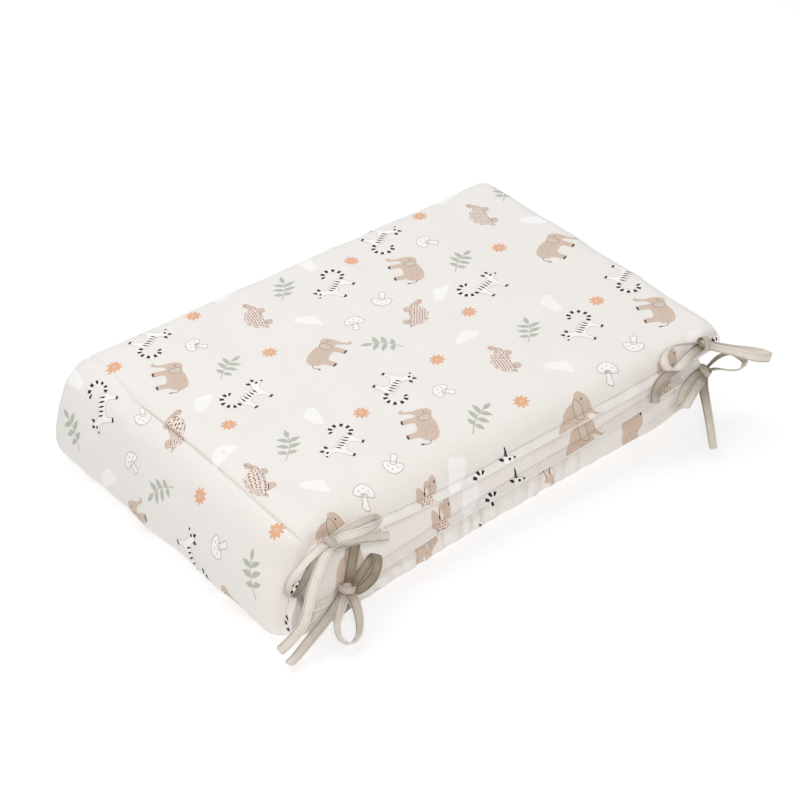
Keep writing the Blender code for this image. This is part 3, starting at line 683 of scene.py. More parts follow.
def relief(along, depth, outer):
    """How far the cloth stands off its smooth shape."""
    seed = 10 if outer else 60
    ends = min(along, STRIP - along)
    height = 0.0
    for number, (rise, wavelength) in enumerate(DIMPLES):
        height = height + rise * dimples(along, depth, seed + number, wavelength)
    height = height + puckers(along, depth, seed + 2, FRONT_PUCKERS)
    height = height + puckers(along, BODY_WIDTH - depth, seed + 4, BACK_PUCKERS)
    if not outer and GATHER_START < along < GATHER_END:
        height = height + puckers(along, depth, seed + 8, GATHERED_PUCKERS)
    deep, reach = CREASE
    for seam, number in ((END_PANEL, 1), (FOLD_SEAM, 2)):
        away = abs(along - seam)
        height = height + puckers(depth, away, seed + 20 * number, CROSS_PUCKERS)
        height = height - deep * math.exp(-(away / reach) ** 2)
    height = height + puckers(depth, ends, seed + 50, END_PUCKERS)
    inside_rim = np.clip(np.minimum(depth, BODY_WIDTH - depth) / SMOOTH_RIM, 0.0, 1.0)
    return height * inside_rim * min(1.0, ends / SMOOTH_RIM)


def flutter(along, depth):
    """How far the stitched flange waves up and down."""
    wave = sum(rise * uneven(along, seed, wavelength) for rise, seed, wavelength in FLUTTER)
    return wave * np.clip((FLUTTER_DEPTH - depth) / FLUTTER_DEPTH, 0.0, 1.0)


def front_folds(along, depths):
    """How far the front edge stands out of its straight line."""
    rise = np.array([lookup(FRONT_RISE, 1, depth) for depth in depths])
    wave = puckers(along, EDGE_AWAY, 71, EDGE_PUCKERS)
    if GATHER_START < along < GATHER_END:
        drift, drift_length = FRONT_DRIFT
        usual, change, change_length = FRONT_LULL
        fold = waves_along(along + drift * uneven(along, 66, drift_length), FRONT_WAVES)
        wave = wave + (FRONT_FOLDS * float(front_fade(along)) * fold
                       * (usual + change * uneven(along, 67, change_length)))
    return wave * rise


NO_NEIGHBOUR = 1.0  # room for any padding


def lie(along, depths, outer):
    """How one column of the cloth lies: x, y, z, x and z faced, padding, room and slope."""
    x, z = middle(along)
    face_x, face_z = outward(along)
    padded = np.maximum(depths, 0.0)
    beside = room(along, x, to_back(along, padded), outer)
    padding = half_thickness(along, depths, outer, beside)
    xs = x + lookup(LAY, 1, along) * sag(depths) + lookup(LAY, 4, along) * padded / BODY_WIDTH
    narrow = RIM_START + (1.0 - RIM_START) * float(swell(min(along, STRIP - along), END_ROUND))
    droop = math.radians(lookup(DROOP, 1, along))
    rim = np.minimum(depths, 0.0) * narrow
    ys = to_back(along, padded) + rim * math.cos(droop) - front_folds(along, depths)
    zs = z + lookup(LAY, 3, along) * sag(depths) + rim * math.sin(droop)
    near = np.full_like(depths, NO_NEIGHBOUR) if beside is None else np.maximum(beside, SEAM_HALF)
    level = np.ones_like(depths)
    hang = droop * np.clip((FLANGE_BEND - depths) / (2 * FLANGE_BEND), 0.0, 1.0)
    return np.stack([xs, ys, zs, face_x * level, face_z * level, padding, near, hang])


def slid(columns, rows, lain):
    """What lies at each place of the cloth, once the turn's seam lies askew."""
    front, back = SEAM_ASKEW
    shares = np.array([lookup(SLIDE, 1, along) for along in columns])
    askew = front + (back - front) * np.clip(rows, 0.0, BODY_WIDTH) / BODY_WIDTH
    moved = columns[None, :] + askew[:, None] * shares[None, :]
    return np.array([[np.interp(moved[j], columns, lain[:, k, j]) for j in range(len(rows))]
                     for k in range(lain.shape[1])])


def strip_points(columns, rows, outer):
    """Points of the folded strip's surface, from their places on the strip laid flat."""
    lain = np.array([lie(along, rows, outer) for along in columns])
    xs, ys, zs, face_x, face_z, padding, near, hang = (
        part.T for part in slid(columns, rows, lain))
    pinch, reach = OUTER_TURN_PINCH if outer else INNER_TURN_PINCH
    drawn_in = 1.0 - pinch * (1.0 - swell(abs(columns - END_PANEL), reach))
    padding = SEAM_HALF + (padding - SEAM_HALF) * drawn_in[:, None]
    fine = np.array([relief(along, rows, outer) for along in columns])
    taper = np.array([rim_taper(along, rows) for along in columns])
    wave = np.array([flutter(along, rows) for along in columns])
    padding = np.minimum(padding + fine, near) * taper
    off = (1.0 if outer else -1.0) * padding + wave
    ys = ys + (SEAM_HALF - off * face_z) * np.sin(hang)
    zs = zs + off * face_z * np.cos(hang)
    return np.stack([xs + off * face_x, ys, np.maximum(zs, 0.0)], axis=-1)


def rim_taper(along, depths):
    """Thins the cloth's rim, and the topstitched line."""
    flange_edge = swell(depths + FLANGE, RIM_REACH) * (1.0 - FLANGE_RIM) + FLANGE_RIM
    back_edge = swell(BODY_WIDTH - depths, RIM_REACH) * (1.0 - SEAM_RIM) + SEAM_RIM
    end_edge = float(swell(min(along, STRIP - along), RIM_REACH)) * (1.0 - SEAM_RIM) + SEAM_RIM
    gathered = GATHER_START < along < GATHER_END
    press, reach = STITCH_PRESS
    stitched = 1.0 - (0.0 if gathered else press) * np.exp(-(depths / reach) ** 2)
    return flange_edge * back_edge * end_edge * stitched


def even_steps(start, end, step):
    """Evenly spaced places from start to end, about a step apart."""
    count = round((end - start) / step)
    return [start + (end - start) * i / count for i in range(count + 1)]


def strip_columns():
    """Distances along the strip at which its points lie: closer at the ends and seams."""
    ends = [0.0, 0.0003, 0.0007, 0.0012, 0.002, 0.003, 0.0045, 0.0065, 0.009, 0.012]
    near = [0.0008, 0.0017, 0.0028, 0.0042]
    places = set(ends) | {STRIP - place for place in ends}
    for seam in (END_PANEL, FOLD_SEAM):
        places |= {seam} | {seam + s * place for place in near for s in (-1, 1)}
    places |= {place for place in even_steps(END_MARGIN, STRIP - END_MARGIN, COLUMN_STEP)
               if all(abs(place - seam) > SEAM_MARGIN for seam in (END_PANEL, FOLD_SEAM))}
    return np.array(sorted(places))


def strip_rows():
    """Depths at which its points lie: closer at the flange, its stitches and the back seam."""
    front = [-FLANGE, -FLANGE + 0.0003, -FLANGE + 0.0009, -0.0078, -0.0055, -0.0035, -0.0020,
             -0.0011, -0.0005, 0.0, 0.0005, 0.0011, 0.0020, 0.0032, 0.0048, 0.0068, 0.0092, 0.0120]
    back = [BODY_WIDTH - d for d in (0.0, 0.0003, 0.0008, 0.0015, 0.0025, 0.004, 0.006, 0.009, 0.013)]
    return np.array(sorted(front + even_steps(*EVEN_DEPTHS, ROW_STEP) + back))


class Strip:
    """The folded cloth as two grids of points, and a way to find any flat place on them."""

    def __init__(self):
        self.columns, self.rows = strip_columns(), strip_rows()
        self.points, self.normals = {}, {}
        for outer in (True, False):
            grid = strip_points(self.columns, self.rows, outer)
            slope_a, slope_d = np.gradient(grid, axis=0), np.gradient(grid, axis=1)
            normal = np.cross(slope_a, slope_d)
            normal /= np.maximum(np.linalg.norm(normal, axis=-1, keepdims=True), 1e-12)
            self.points[outer] = grid
            self.normals[outer] = -normal if outer else normal

    def place(self, flat, outer, lift):
        """Points on the cloth, at flat places, lifted off it along its normal."""
        flat = np.asarray(flat, float)
        i = np.clip(np.searchsorted(self.columns, flat[:, 0]) - 1, 0, len(self.columns) - 2)
        j = np.clip(np.searchsorted(self.rows, flat[:, 1]) - 1, 0, len(self.rows) - 2)
        u = (flat[:, 0] - self.columns[i]) / (self.columns[i + 1] - self.columns[i])
        v = (flat[:, 1] - self.rows[j]) / (self.rows[j + 1] - self.rows[j])
        u, v = u[:, None], v[:, None]

        def blend(grid):
            return ((1 - u) * (1 - v) * grid[i, j] + u * (1 - v) * grid[i + 1, j]
                    + (1 - u) * v * grid[i, j + 1] + u * v * grid[i + 1, j + 1])

        return blend(self.points[outer]) + lift * blend(self.normals[outer])


def build_mesh(name, points, faces, flat_places, material):
    """A piece from its points and faces, with each point's flat place as its UV map."""
    data = bpy.data.meshes.new(name)
    data.from_pydata([tuple(p) for p in points], [], faces)
    layer = data.uv_layers.new(name="flat")
    corner_points = np.empty(len(data.loops), dtype=np.int32)
    data.loops.foreach_get("vertex_index", corner_points)
    layer.data.foreach_set("uv", np.asarray(flat_places, float)[corner_points].ravel())
    data.materials.append(material)
    piece = bpy.data.objects.new(name, data)
    bpy.context.scene.collection.objects.link(piece)
    data.shade_smooth()
    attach(piece, "root")
    return piece


def make_pad(strip, cloth):
    """The padded strip: its outer and inner cloth, closed all round the rim."""
    count_a, count_d = len(strip.columns), len(strip.rows)
    points, flat_places, faces = [], [], []
    start = {}
    for outer in (True, False):
        start[outer] = len(points)
        points += list(strip.points[outer].reshape(-1, 3))
        flat_places += [(a, d) for a in strip.columns for d in strip.rows]

    def at(outer, a, d):
        return start[outer] + a * count_d + d

    for a in range(count_a - 1):
        for d in range(count_d - 1):
            faces.append((at(True, a, d), at(True, a + 1, d), at(True, a + 1, d + 1),
                          at(True, a, d + 1)))
            faces.append((at(False, a, d), at(False, a, d + 1), at(False, a + 1, d + 1),
                          at(False, a + 1, d)))
    rim = ([(a, 0) for a in range(count_a)] + [(count_a - 1, d) for d in range(1, count_d - 1)]
           + [(a, count_d - 1) for a in reversed(range(count_a))]
           + [(0, d) for d in reversed(range(1, count_d - 1))])
    for here, ahead in zip(rim, rim[1:] + rim[:1]):
        faces.append((at(True, *ahead), at(True, *here), at(False, *here), at(False, *ahead)))
    pad = build_mesh("padded_strip", points, faces, flat_places, cloth)
    face_outwards(pad)
    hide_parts("bumper_pad")


def face_outwards(piece):
    """Turns every face of a closed piece outwards."""
    mesh = bmesh.new()
    mesh.from_mesh(piece.data)
    bmesh.ops.recalc_face_normals(mesh, faces=mesh.faces)
    mesh.to_mesh(piece.data)
    mesh.free()


# ---- Topstitching ---------------------------------------------------------------------------
STITCH_PITCH = 0.0030
STITCH_LENGTH = 0.0022
STITCH_HALF = 0.00022  # half of the thread's thickness
STITCH_SIDES = 5
STITCH_MARGIN = 0.010  # the line starts this far from the strip's two ends
STITCH_LIFT = 0.00006  # a stitch's two tips lie this far off the cloth
STITCH_ARCH = 0.00016  # and its middle stands this much higher
STITCH_PROBE = 0.001  # the cloth's way up at a stitch is found over this distance
# A stitch from tip to tip. Columns: share of its length, share of its thickness.
STITCH_SHAPE = ((-0.5, 0.0), (-0.36, 0.75), (0.0, 1.0), (0.36, 0.75), (0.5, 0.0))


def make_stitches(strip, thread):
    """Thread along the front flange's line, on both faces, but not inside the gathers."""
    points, faces, flat_places = [], [], []
    count = int((STRIP - 2 * STITCH_MARGIN) / STITCH_PITCH)
    starts = [STITCH_MARGIN + i * STITCH_PITCH for i in range(count)]
    lines = [(along, outer) for outer in (True, False) for along in starts
             if outer or not TURN_END < along < FOLD_START]
    last = len(STITCH_SHAPE) - 1
    for along, outer in lines:
        spine = [(along + STITCH_LENGTH * share, 0.0) for share, _ in STITCH_SHAPE]
        low = strip.place(spine, outer, STITCH_LIFT)
        high = strip.place(spine, outer, STITCH_LIFT + STITCH_PROBE)
        up = (high - low) / STITCH_PROBE
        ahead = low[-1] - low[0]
        ahead /= np.linalg.norm(ahead)
        first = len(points)
        for k, (_, thick) in enumerate(STITCH_SHAPE):
            across = np.cross(ahead, up[k])
            across /= max(np.linalg.norm(across), 1e-9)
            lift = up[k] * (STITCH_ARCH * thick)
            for n in range(STITCH_SIDES if 0 < k < last else 1):
                angle = math.tau * n / STITCH_SIDES
                points.append(low[k] + lift + STITCH_HALF * thick
                              * (across * math.cos(angle) + up[k] * math.sin(angle)))
                flat_places.append(spine[k])
        ring = [first + 1 + STITCH_SIDES * k for k in range(last - 1)]
        tip = len(points) - 1
        for n in range(STITCH_SIDES):
            m = (n + 1) % STITCH_SIDES
            faces.append((first, ring[0] + m, ring[0] + n))
            faces.append((ring[-1] + n, ring[-1] + m, tip))
            for here, beyond in zip(ring, ring[1:]):
                faces.append((here + n, here + m, beyond + m, beyond + n))
    stitches = build_mesh("topstitching", points, faces, flat_places, thread)
    face_outwards(stitches)


# ---- The print ------------------------------------------------------------------------------
def rounded(before, start, end, after, u):
    """A place between start and end, on the rounded line that passes all four places."""
    return 0.5 * (2 * start + (end - before) * u
                  + (2 * before - 5 * start + 4 * end - after) * u * u
                  + (3 * start - before - 3 * end + after) * u ** 3)


def curve(places, pieces=4, closed=True):
    """A rounded line through places, as a list of points."""
    count = len(places)
    spans = count if closed else count - 1
    line = []
    for i in range(spans):
        def pick(k):
            return np.array(places[k % count] if closed else places[min(max(k, 0), count - 1)], float)
        before, start, end, after = pick(i - 1), pick(i), pick(i + 1), pick(i + 2)
        line += [rounded(before, start, end, after, step / pieces) for step in range(pieces)]
    if not closed:
        line.append(np.array(places[-1], float))
    return [tuple(p) for p in line]


LEAF_PIECES = 7
LEAF_BROAD = 0.85  # under 1, a leaf is broadest nearer its foot


def leaf(x, y, angle, length, width, droop=0.0):
    """A pointed leaf that starts at x, y."""
    angle = math.radians(angle)
    upper, lower = [], []
    for i in range(LEAF_PIECES + 1):
        u = i / LEAF_PIECES
        half = width / 2 * math.sin(math.pi * u ** LEAF_BROAD) if 0 < i < LEAF_PIECES else 0.0
        turn = angle - math.radians(droop) * u
        centre = (x + length * u * math.cos(turn), y + length * u * math.sin(turn))
        upper.append((centre[0] - half * math.sin(turn), centre[1] + half * math.cos(turn)))
        lower.append((centre[0] + half * math.sin(turn), centre[1] - half * math.cos(turn)))
    return upper + lower[-2:0:-1]


def dot(x, y, half_x, half_y=None, sides=8, turn=0.0):
    """A round or oval spot."""
    half_y = half_y or half_x
    turn = math.radians(turn)
    ring = [(half_x * math.cos(math.tau * i / sides), half_y * math.sin(math.tau * i / sides))
            for i in range(sides)]
    return [(x + a * math.cos(turn) - b * math.sin(turn), y + a * math.sin(turn) + b * math.cos(turn))
            for a, b in ring]


def stroke(places, width, closed=False):
    """A line of even width as a row of four-sided patches."""
    line = np.array(places, float)
    ways = (np.roll(line, -1, axis=0) - np.roll(line, 1, axis=0) if closed
            else np.gradient(line, axis=0))
    ways = ways / np.maximum(np.linalg.norm(ways, axis=1, keepdims=True), 1e-9)
    side = np.stack([-ways[:, 1], ways[:, 0]], axis=1) * (width / 2)
    patches = []
    for i in range(len(line) if closed else len(line) - 1):
        j = (i + 1) % len(line)
        patches.append([tuple(line[i] + side[i]), tuple(line[i] - side[i]),
                        tuple(line[j] - side[j]), tuple(line[j] + side[j])])
    return patches


def edged(colour, outline, width):
    """A coloured line of even width round a shape."""
    return [(colour, patch) for patch in stroke(outline, width, closed=True)]


def inside(outline, x, y):
    """Whether a place is inside a flat outline."""
    hit = False
    for (x0, y0), (x1, y1) in zip(outline, outline[1:] + outline[:1]):
        if (y0 > y) != (y1 > y) and x < (x1 - x0) * (y - y0) / (y1 - y0) + x0:
            hit = not hit
    return hit


# Each motif is a list of (colour, outline), in millimetres, with its foot down.
def daisy():
    ring = []
    for i in range(54):
        angle = math.tau * i / 54
        far = 7.4 + 1.7 * math.cos(9 * angle)
        ring.append((far * math.cos(angle), far * math.sin(angle)))
    return [("apricot", ring), ("sand", dot(0, 0, 2.3, sides=10))]


def leaf_sprig():
    stem = curve([(-9, -22), (-3, -10), (1, 2), (1, 13)], 4, closed=False)
    shapes = [("sand", patch) for patch in stroke(stem, 1.5)]
    for x, y, left, right, length in ((-4.5, -12, 150, 22, 11), (-1.2, -4, 144, 30, 14),
                                      (0.8, 4, 136, 38, 14)):
        shapes.append(("sage", leaf(x, y, left, length, 5.6, -14)))
        shapes.append(("sage", leaf(x, y, right, length, 5.6, 14)))
    shapes.append(("sage", leaf(1, 11, 92, 13, 5.4)))
    return shapes


def cloud():
    return [("chalk", curve([(-14, -4), (-5, -5), (6, -5), (14, -4), (16.5, 0), (12, 4.5), (8, 9.5),
                             (1, 11.5), (-5, 8), (-11, 7), (-16, 2)], 3))]


def mushroom():
    stalk = curve([(-3, 1), (-2.6, -6), (-4, -11), (0, -12.5), (4, -11), (2.6, -6), (3, 1)], 3)
    cap = curve([(-11, 0), (-9, 7), (-3, 11.5), (3, 11.5), (9, 7), (11, 0), (5, -1.6), (-5, -1.6)], 3)
    shapes = [("chalk", stalk)] + edged("taupe", stalk, 0.8)
    shapes += [("chalk", cap)] + edged("taupe", cap, 0.8)
    return shapes + [("taupe", dot(x, y, 1.0, 0.8)) for x, y in ((-5, 4), (0, 7), (5, 4))]


def lemur():
    body = curve([(-15, 3), (-13, 10), (-4, 12.5), (6, 12), (12, 14), (13.5, 19), (18, 21), (22, 18.5),
                  (27, 14.5), (26.5, 12.5), (20, 11), (16.5, 6), (15.5, -4), (16, -12), (11.5, -12),
                  (10.5, -3), (5, 1), (-4, 1), (-7, -4), (-7.5, -12), (-12.5, -12), (-12.5, -4)], 3)
    shapes = [("chalk", body)] + edged("taupe", body, 0.45)
    tail = curve([(-13, 7), (-20, 6), (-26, 11), (-27, 20), (-21, 27), (-13, 27), (-10, 22)], 5, False)
    for k, patch in enumerate(stroke(tail, 4.6)):
        shapes.append(("ink" if k % 4 > 1 else "chalk", patch))
    for x, low, high in ((-9, 3.5, 11.5), (-4.5, 3.0, 12.2), (0, 3.0, 12.2), (4.5, 3.4, 11.8),
                         (9, 4.0, 12.2)):
        shapes.append(("ink", leaf(x - 0.6, low, 86, high - low, 1.9)))
    for x, y in ((-10, -11.4), (13.7, -11.4)):
        shapes.append(("ink", [(x - 2.4, y - 0.9), (x + 2.6, y - 0.9), (x + 2.0, y + 1.6),
                               (x - 2.0, y + 1.6)]))
    return shapes + [("ink", patch) for patch in (
        leaf(14.5, 18, 118, 6, 3.6), leaf(19.5, 19, 78, 5.5, 3.4), dot(20.3, 15.6, 1.9, 1.6),
        dot(26.2, 13.6, 1.5, 1.1))]


def tortoise():
    shell = curve([(-19, -2), (-17, 7), (-9, 14), (1, 16), (11, 13), (18, 6), (20, -2), (10, -4),
                   (-9, -4)], 4)
    shapes = [("fawn", dot(26, 5, 5.4, 4.0, 12, 18)), ("fawn", dot(21, 0, 4.6, 3.4, 10, 40))]
    for x in (-12, 12):
        shapes.append(("fawn", curve([(x - 4.2, -2), (x - 4, -10), (x + 3.4, -10.4), (x + 4.2, -2)], 3)))
    shapes.append(("fawn", leaf(-17, -1, 200, 7, 3)))
    shapes += [("blush", shell)] + edged("ink", shell[::2], 0.5)[::2]
    dice = np.random.RandomState(5)
    for row in range(7):
        for column in range(13):
            x = -17.5 + 3.1 * column + (1.5 if row % 2 else 0.0) + dice.uniform(-0.4, 0.4)
            y = -2.2 + 2.9 * row + dice.uniform(-0.35, 0.35)
            if inside(shell, x, y) and inside(shell, x * 1.06, y + 1.2):
                shapes.append(("ink", dot(x, y, dice.uniform(0.65, 0.95), 0.75, 6)))
    return shapes + [("ink", dot(27.5, 6.6, 0.8))]


def elephant():
    outline = curve([(14, 14), (20, 17), (26, 14), (28, 6), (27, -4), (29, -11), (32, -12), (33, -9.5),
                     (30.5, -15.5), (26, -14.5), (23.5, -6), (20, -1), (17, -3), (16, -17), (9, -17),
                     (8, -5), (-6, -5.5), (-8, -17), (-15, -17), (-15.5, -5), (-20, 0), (-22, 8),
                     (-17, 15), (-6, 17.5), (6, 16.5)], 3)
    shapes = [("fawn", outline)]
    ear = curve([(10, 13), (16, 14.5), (18, 8), (15, 1), (10, 2), (8, 8)], 4)
    shapes += [("sand", ear)] + edged("umber", ear, 0.55)
    shapes.append(("ink", dot(22, 9, 0.85)))
    for x in (-12.4, 12.6):
        shapes.append(("ink", [(x - 3.0, -17.2), (x + 3.0, -17.2), (x + 2.9, -15.4), (x - 2.9, -15.4)]))
    tail = curve([(-21, 6), (-25, 3), (-25, -3)], 4, False)
    shapes += [("umber", patch) for patch in stroke(tail, 0.8)]
    shapes.append(("ink", leaf(-25, -2, -90, 4.5, 1.8)))
    for x, y in ((-12, 8), (-7, 3), (-2, 10), (-14, 1), (2, 3), (-5, 13)):
        shapes.append(("umber", leaf(x, y, 65, 2.6, 0.5)))
    return shapes


MOTIFS = {"daisy": daisy, "leaf_sprig": leaf_sprig, "cloud": cloud, "mushroom": mushroom,
          "lemur": lemur, "tortoise": tortoise, "elephant": elephant}

REPEAT_LENGTH, REPEAT_HEIGHT = 0.312, 0.230
REPEATS_ALONG, REPEATS_UP = 8, 4  # enough to cover the whole strip
# Where the first repeat starts, along and up, on the outer cloth and on the inner.
PRINT_STARTS = {True: (-0.045, -0.060), False: (-0.165, -0.130)}
MOTIF_REACH = 0.03  # a motif whose middle is further off the cloth than this is left out
PRINT_EDGE = 0.0012  # bare cloth at the strip's rim
SLIVER = 2e-10  # twice the area, in square metres, under which a cut piece is left out
# The cloth between two layers is printed only this far in from the front seam and the back.
SHOWN_FRONT, SHOWN_BACK = 0.075, 0.05

# One repeat of the print. Columns: motif, metres along, metres up, turn in degrees, facing.
REPEAT = (
    ("lemur", 0.036, 0.034, 14, 1),
    ("daisy", 0.082, 0.014, 0, 1),
    ("tortoise", 0.132, 0.046, -128, -1),
    ("leaf_sprig", 0.188, 0.026, 60, 1),
    ("elephant", 0.246, 0.048, 28, 1),
    ("cloud", 0.082, 0.060, 35, 1),
    ("mushroom", 0.188, 0.076, -25, 1),
    ("daisy", 0.290, 0.090, 10, 1),
    ("leaf_sprig", 0.028, 0.098, -72, -1),
    ("elephant", 0.086, 0.118, -112, -1),
    ("mushroom", 0.140, 0.092, 140, 1),
    ("lemur", 0.160, 0.140, 32, -1),
    ("cloud", 0.226, 0.108, -50, 1),
    ("tortoise", 0.262, 0.150, 76, 1),
    ("mushroom", 0.032, 0.150, 40, 1),
    ("daisy", 0.120, 0.174, 0, 1),
    ("leaf_sprig", 0.208, 0.178, -22, 1),
    ("lemur", 0.070, 0.196, -150, -1),
    ("cloud", 0.160, 0.200, 80, 1),
    ("daisy", 0.004, 0.198, 0, 1),
    ("cloud", 0.268, 0.208, 10, 1),
)
PRINT_COLOURS = {"apricot": (236, 178, 140), "sand": (216, 202, 188), "sage": (186, 194, 184),
                 "chalk": (250, 250, 249), "taupe": (196, 186, 174), "ink": (38, 32, 46),
                 "blush": (240, 222, 212), "fawn": (214, 194, 178), "umber": (140, 112, 96)}
# How far each ink lies off the cloth, in metres: an ink over another one lies higher.
PRINT_LIFTS = {"fawn": 0.00007, "chalk": 0.00009, "apricot": 0.00009, "blush": 0.00010,
               "sand": 0.00012, "sage": 0.00014, "taupe": 0.00015, "umber": 0.00016, "ink": 0.00018}
PATCH = 3.4  # millimetres between a printed shape's points
ONE_FACE = (1.2, 10)  # a shape narrower than so many patches, with so few points, is one face
MILLIMETRE = 0.001


def fine_outline(outline):
    """The outline with no side longer than a patch."""
    fine = []
    for (x0, y0), (x1, y1) in zip(outline, outline[1:] + outline[:1]):
        pieces = max(1, math.ceil(math.hypot(x1 - x0, y1 - y0) / PATCH))
        fine += [(x0 + (x1 - x0) * k / pieces, y0 + (y1 - y0) * k / pieces) for k in range(pieces)]
    return fine


def filled(outline):
    """A shape's points and faces, with points inside it where it is wide."""
    fine = fine_outline(outline)
    low_x, high_x = min(p[0] for p in fine), max(p[0] for p in fine)
    low_y, high_y = min(p[1] for p in fine), max(p[1] for p in fine)
    narrow, few = ONE_FACE
    if min(high_x - low_x, high_y - low_y) < PATCH * narrow and len(fine) <= few:
        return fine, [tuple(range(len(fine)))]
    grid = [Vector((x, y)) for x in np.arange(low_x + PATCH / 2, high_x, PATCH)
            for y in np.arange(low_y + PATCH / 2, high_y, PATCH) if inside(fine, x, y)]
    places = [Vector(p) for p in fine] + grid
    edges = [(i, (i + 1) % len(fine)) for i in range(len(fine))]
    points, _, faces, *_ = delaunay_2d_cdt(places, edges, [], 1, 1e-4)
    return [tuple(p) for p in points], [tuple(face) for face in faces]


def shows(along, depth, outer):
    """Whether a place of the cloth can be seen between the folded layers."""
    pressed = (not outer and (along < END_PANEL or along > TURN_END)) or (outer and along > FOLD_END)
    return not pressed or not SHOWN_FRONT < depth < BODY_WIDTH - SHOWN_BACK


def make_print(strip, finishes):
    """Every printed colour as one thin layer on the cloth."""
    drawings = {}
    for name, draw in MOTIFS.items():
        drawings[name] = [(colour, *filled(outline)) for colour, outline in draw()]
    layers = {colour: ([], [], []) for colour in PRINT_COLOURS}
    for outer, (start_a, start_d) in PRINT_STARTS.items():
        for tile_a, tile_d, placed in product(range(REPEATS_ALONG), range(REPEATS_UP), REPEAT):
            motif, a, d, turn, facing = placed
            shift = 0.5 * REPEAT_LENGTH * (tile_d % 2)
            centre_a = start_a + tile_a * REPEAT_LENGTH + a - shift
            centre_d = start_d + tile_d * REPEAT_HEIGHT + d
            if (-MOTIF_REACH < centre_a < STRIP + MOTIF_REACH
                    and -FLANGE - MOTIF_REACH < centre_d < BODY_WIDTH + MOTIF_REACH
                    and shows(centre_a, centre_d, outer)):
                add_motif(strip, layers, drawings[motif], (centre_a, centre_d),
                          turn, facing if outer else -facing, outer)
    for colour, (points, faces, flat_places) in layers.items():
        piece = build_mesh(f"print_{colour}", points, faces, flat_places, finishes[colour])


def clipped(shape, axis, limit, above):
    """The part of a convex flat shape on one side of a line across the strip or along it."""
    kept = []
    for start, end in zip(shape, shape[1:] + shape[:1]):
        start_in = (start[axis] >= limit) == above or start[axis] == limit
        end_in = (end[axis] >= limit) == above or end[axis] == limit
        if start_in:
            kept.append(start)
        if start_in != end_in:
            share = (limit - start[axis]) / (end[axis] - start[axis])
            place = [start[k] + (end[k] - start[k]) * share for k in (0, 1)]
            place[axis] = limit
            kept.append(tuple(place))
    return kept


def cut_up(shapes, axis, lines):
    """The shapes cut along every line that crosses them."""
    pieces = []
    for shape in shapes:
        low, high = min(p[axis] for p in shape), max(p[axis] for p in shape)
        for line in lines[bisect_right(lines, low):bisect_left(lines, high)]:
            pieces.append(clipped(shape, axis, line, False))
            shape = clipped(shape, axis, line, True)
        pieces.append(shape)
    return [piece for piece in pieces if len(piece) > 2]


def add_motif(strip, layers, drawing, centre, turn, facing, outer):
    """A motif at its place, cut along the cloth's grid so that it lies flat on it."""
    turn = math.radians(turn)
    cos, sin = math.cos(turn) * MILLIMETRE, math.sin(turn) * MILLIMETRE
    columns, rows = list(strip.columns), list(strip.rows)
    for colour, local, faces in drawing:
        flat = [(centre[0] - (x * facing * cos - y * sin), centre[1] + (x * facing * sin + y * cos))
                for x, y in local]
        shapes = [[flat[k] for k in face] for face in faces]
        for axis, low, high in ((0, PRINT_EDGE, STRIP - PRINT_EDGE),
                                (1, PRINT_EDGE - FLANGE, BODY_WIDTH - PRINT_EDGE)):
            shapes = [clipped(shape, axis, low, True) for shape in shapes]
            shapes = [clipped(shape, axis, high, False) for shape in shapes if len(shape) > 2]
            shapes = [shape for shape in shapes if len(shape) > 2]
        shapes = cut_up(cut_up(shapes, 0, columns), 1, rows)
        points, all_faces, flat_places = layers[colour]
        first, found, places = len(points), {}, []
        for shape in shapes if (facing > 0) == outer else [shape[::-1] for shape in shapes]:
            area = sum(a[0] * b[1] - b[0] * a[1] for a, b in zip(shape, shape[1:] + shape[:1]))
            if abs(area) < SLIVER:
                continue
            face = []
            for place in shape:
                key = (round(place[0], 7), round(place[1], 7))
                if key not in found:
                    found[key] = first + len(places)
                    places.append(place)
                if found[key] not in face:
                    face.append(found[key])
            if len(face) > 2:
                all_faces.append(tuple(face))
        if places:
            points += list(strip.place(places, outer, PRINT_LIFTS[colour]))
            flat_places += places


# ---- The ribbon bows ------------------------------------------------------------------------
def through(places, step):
    """Places along a rounded line through the given ones, about a step apart."""
    places = [Vector(place) for place in places]
    route = []
    for i in range(len(places) - 1):
        before, after = places[max(i - 1, 0)], places[min(i + 2, len(places) - 1)]
        start, end = places[i], places[i + 1]
        pieces = max(1, round((end - start).length / step))
        route += [rounded(before, start, end, after, k / pieces) for k in range(pieces)]
    return route + [places[-1]]


def blend(directions, share):
    """The direction at a share of the way through a list of directions."""
    place = share * (len(directions) - 1)
    low = min(int(place), len(directions) - 2)
    return Vector(directions[low]).lerp(Vector(directions[low + 1]), place - low)


def over_flat_face(wanted, before, place, after):
    """The wanted width direction, turned so that the tape bends over its flat face."""
    ahead = (after - before).normalized()
    width = (wanted - ahead * wanted.dot(ahead)).normalized()
    bend = (after - place).normalized() - (place - before).normalized()
    if before == place or after == place or bend.length < 1e-4:
        return width
    sharpness = min(1.0, bend.length / (after - place).length * TAPE_STIFF_RADIUS)
    bend.normalize()
    return width - bend * width.dot(bend) * sharpness


def tape_widths(route, wanted):
    """The width direction at each place of a route, evened out along the tape."""
    last = len(route) - 1
    widths = [over_flat_face(blend(wanted, i / last), route[max(i - 1, 0)], route[i],
                             route[min(i + 1, last)]) for i in range(last + 1)]
    for _ in range(TWIST_PASSES):
        widths = [widths[max(i - 1, 0)] + widths[i] * 2 + widths[min(i + 1, last)]
                  for i in range(last + 1)]
        for i, width in enumerate(widths):
            ahead = (route[min(i + 1, last)] - route[max(i - 1, 0)]).normalized()
            widths[i] = (width - ahead * width.dot(ahead)).normalized()
    return widths


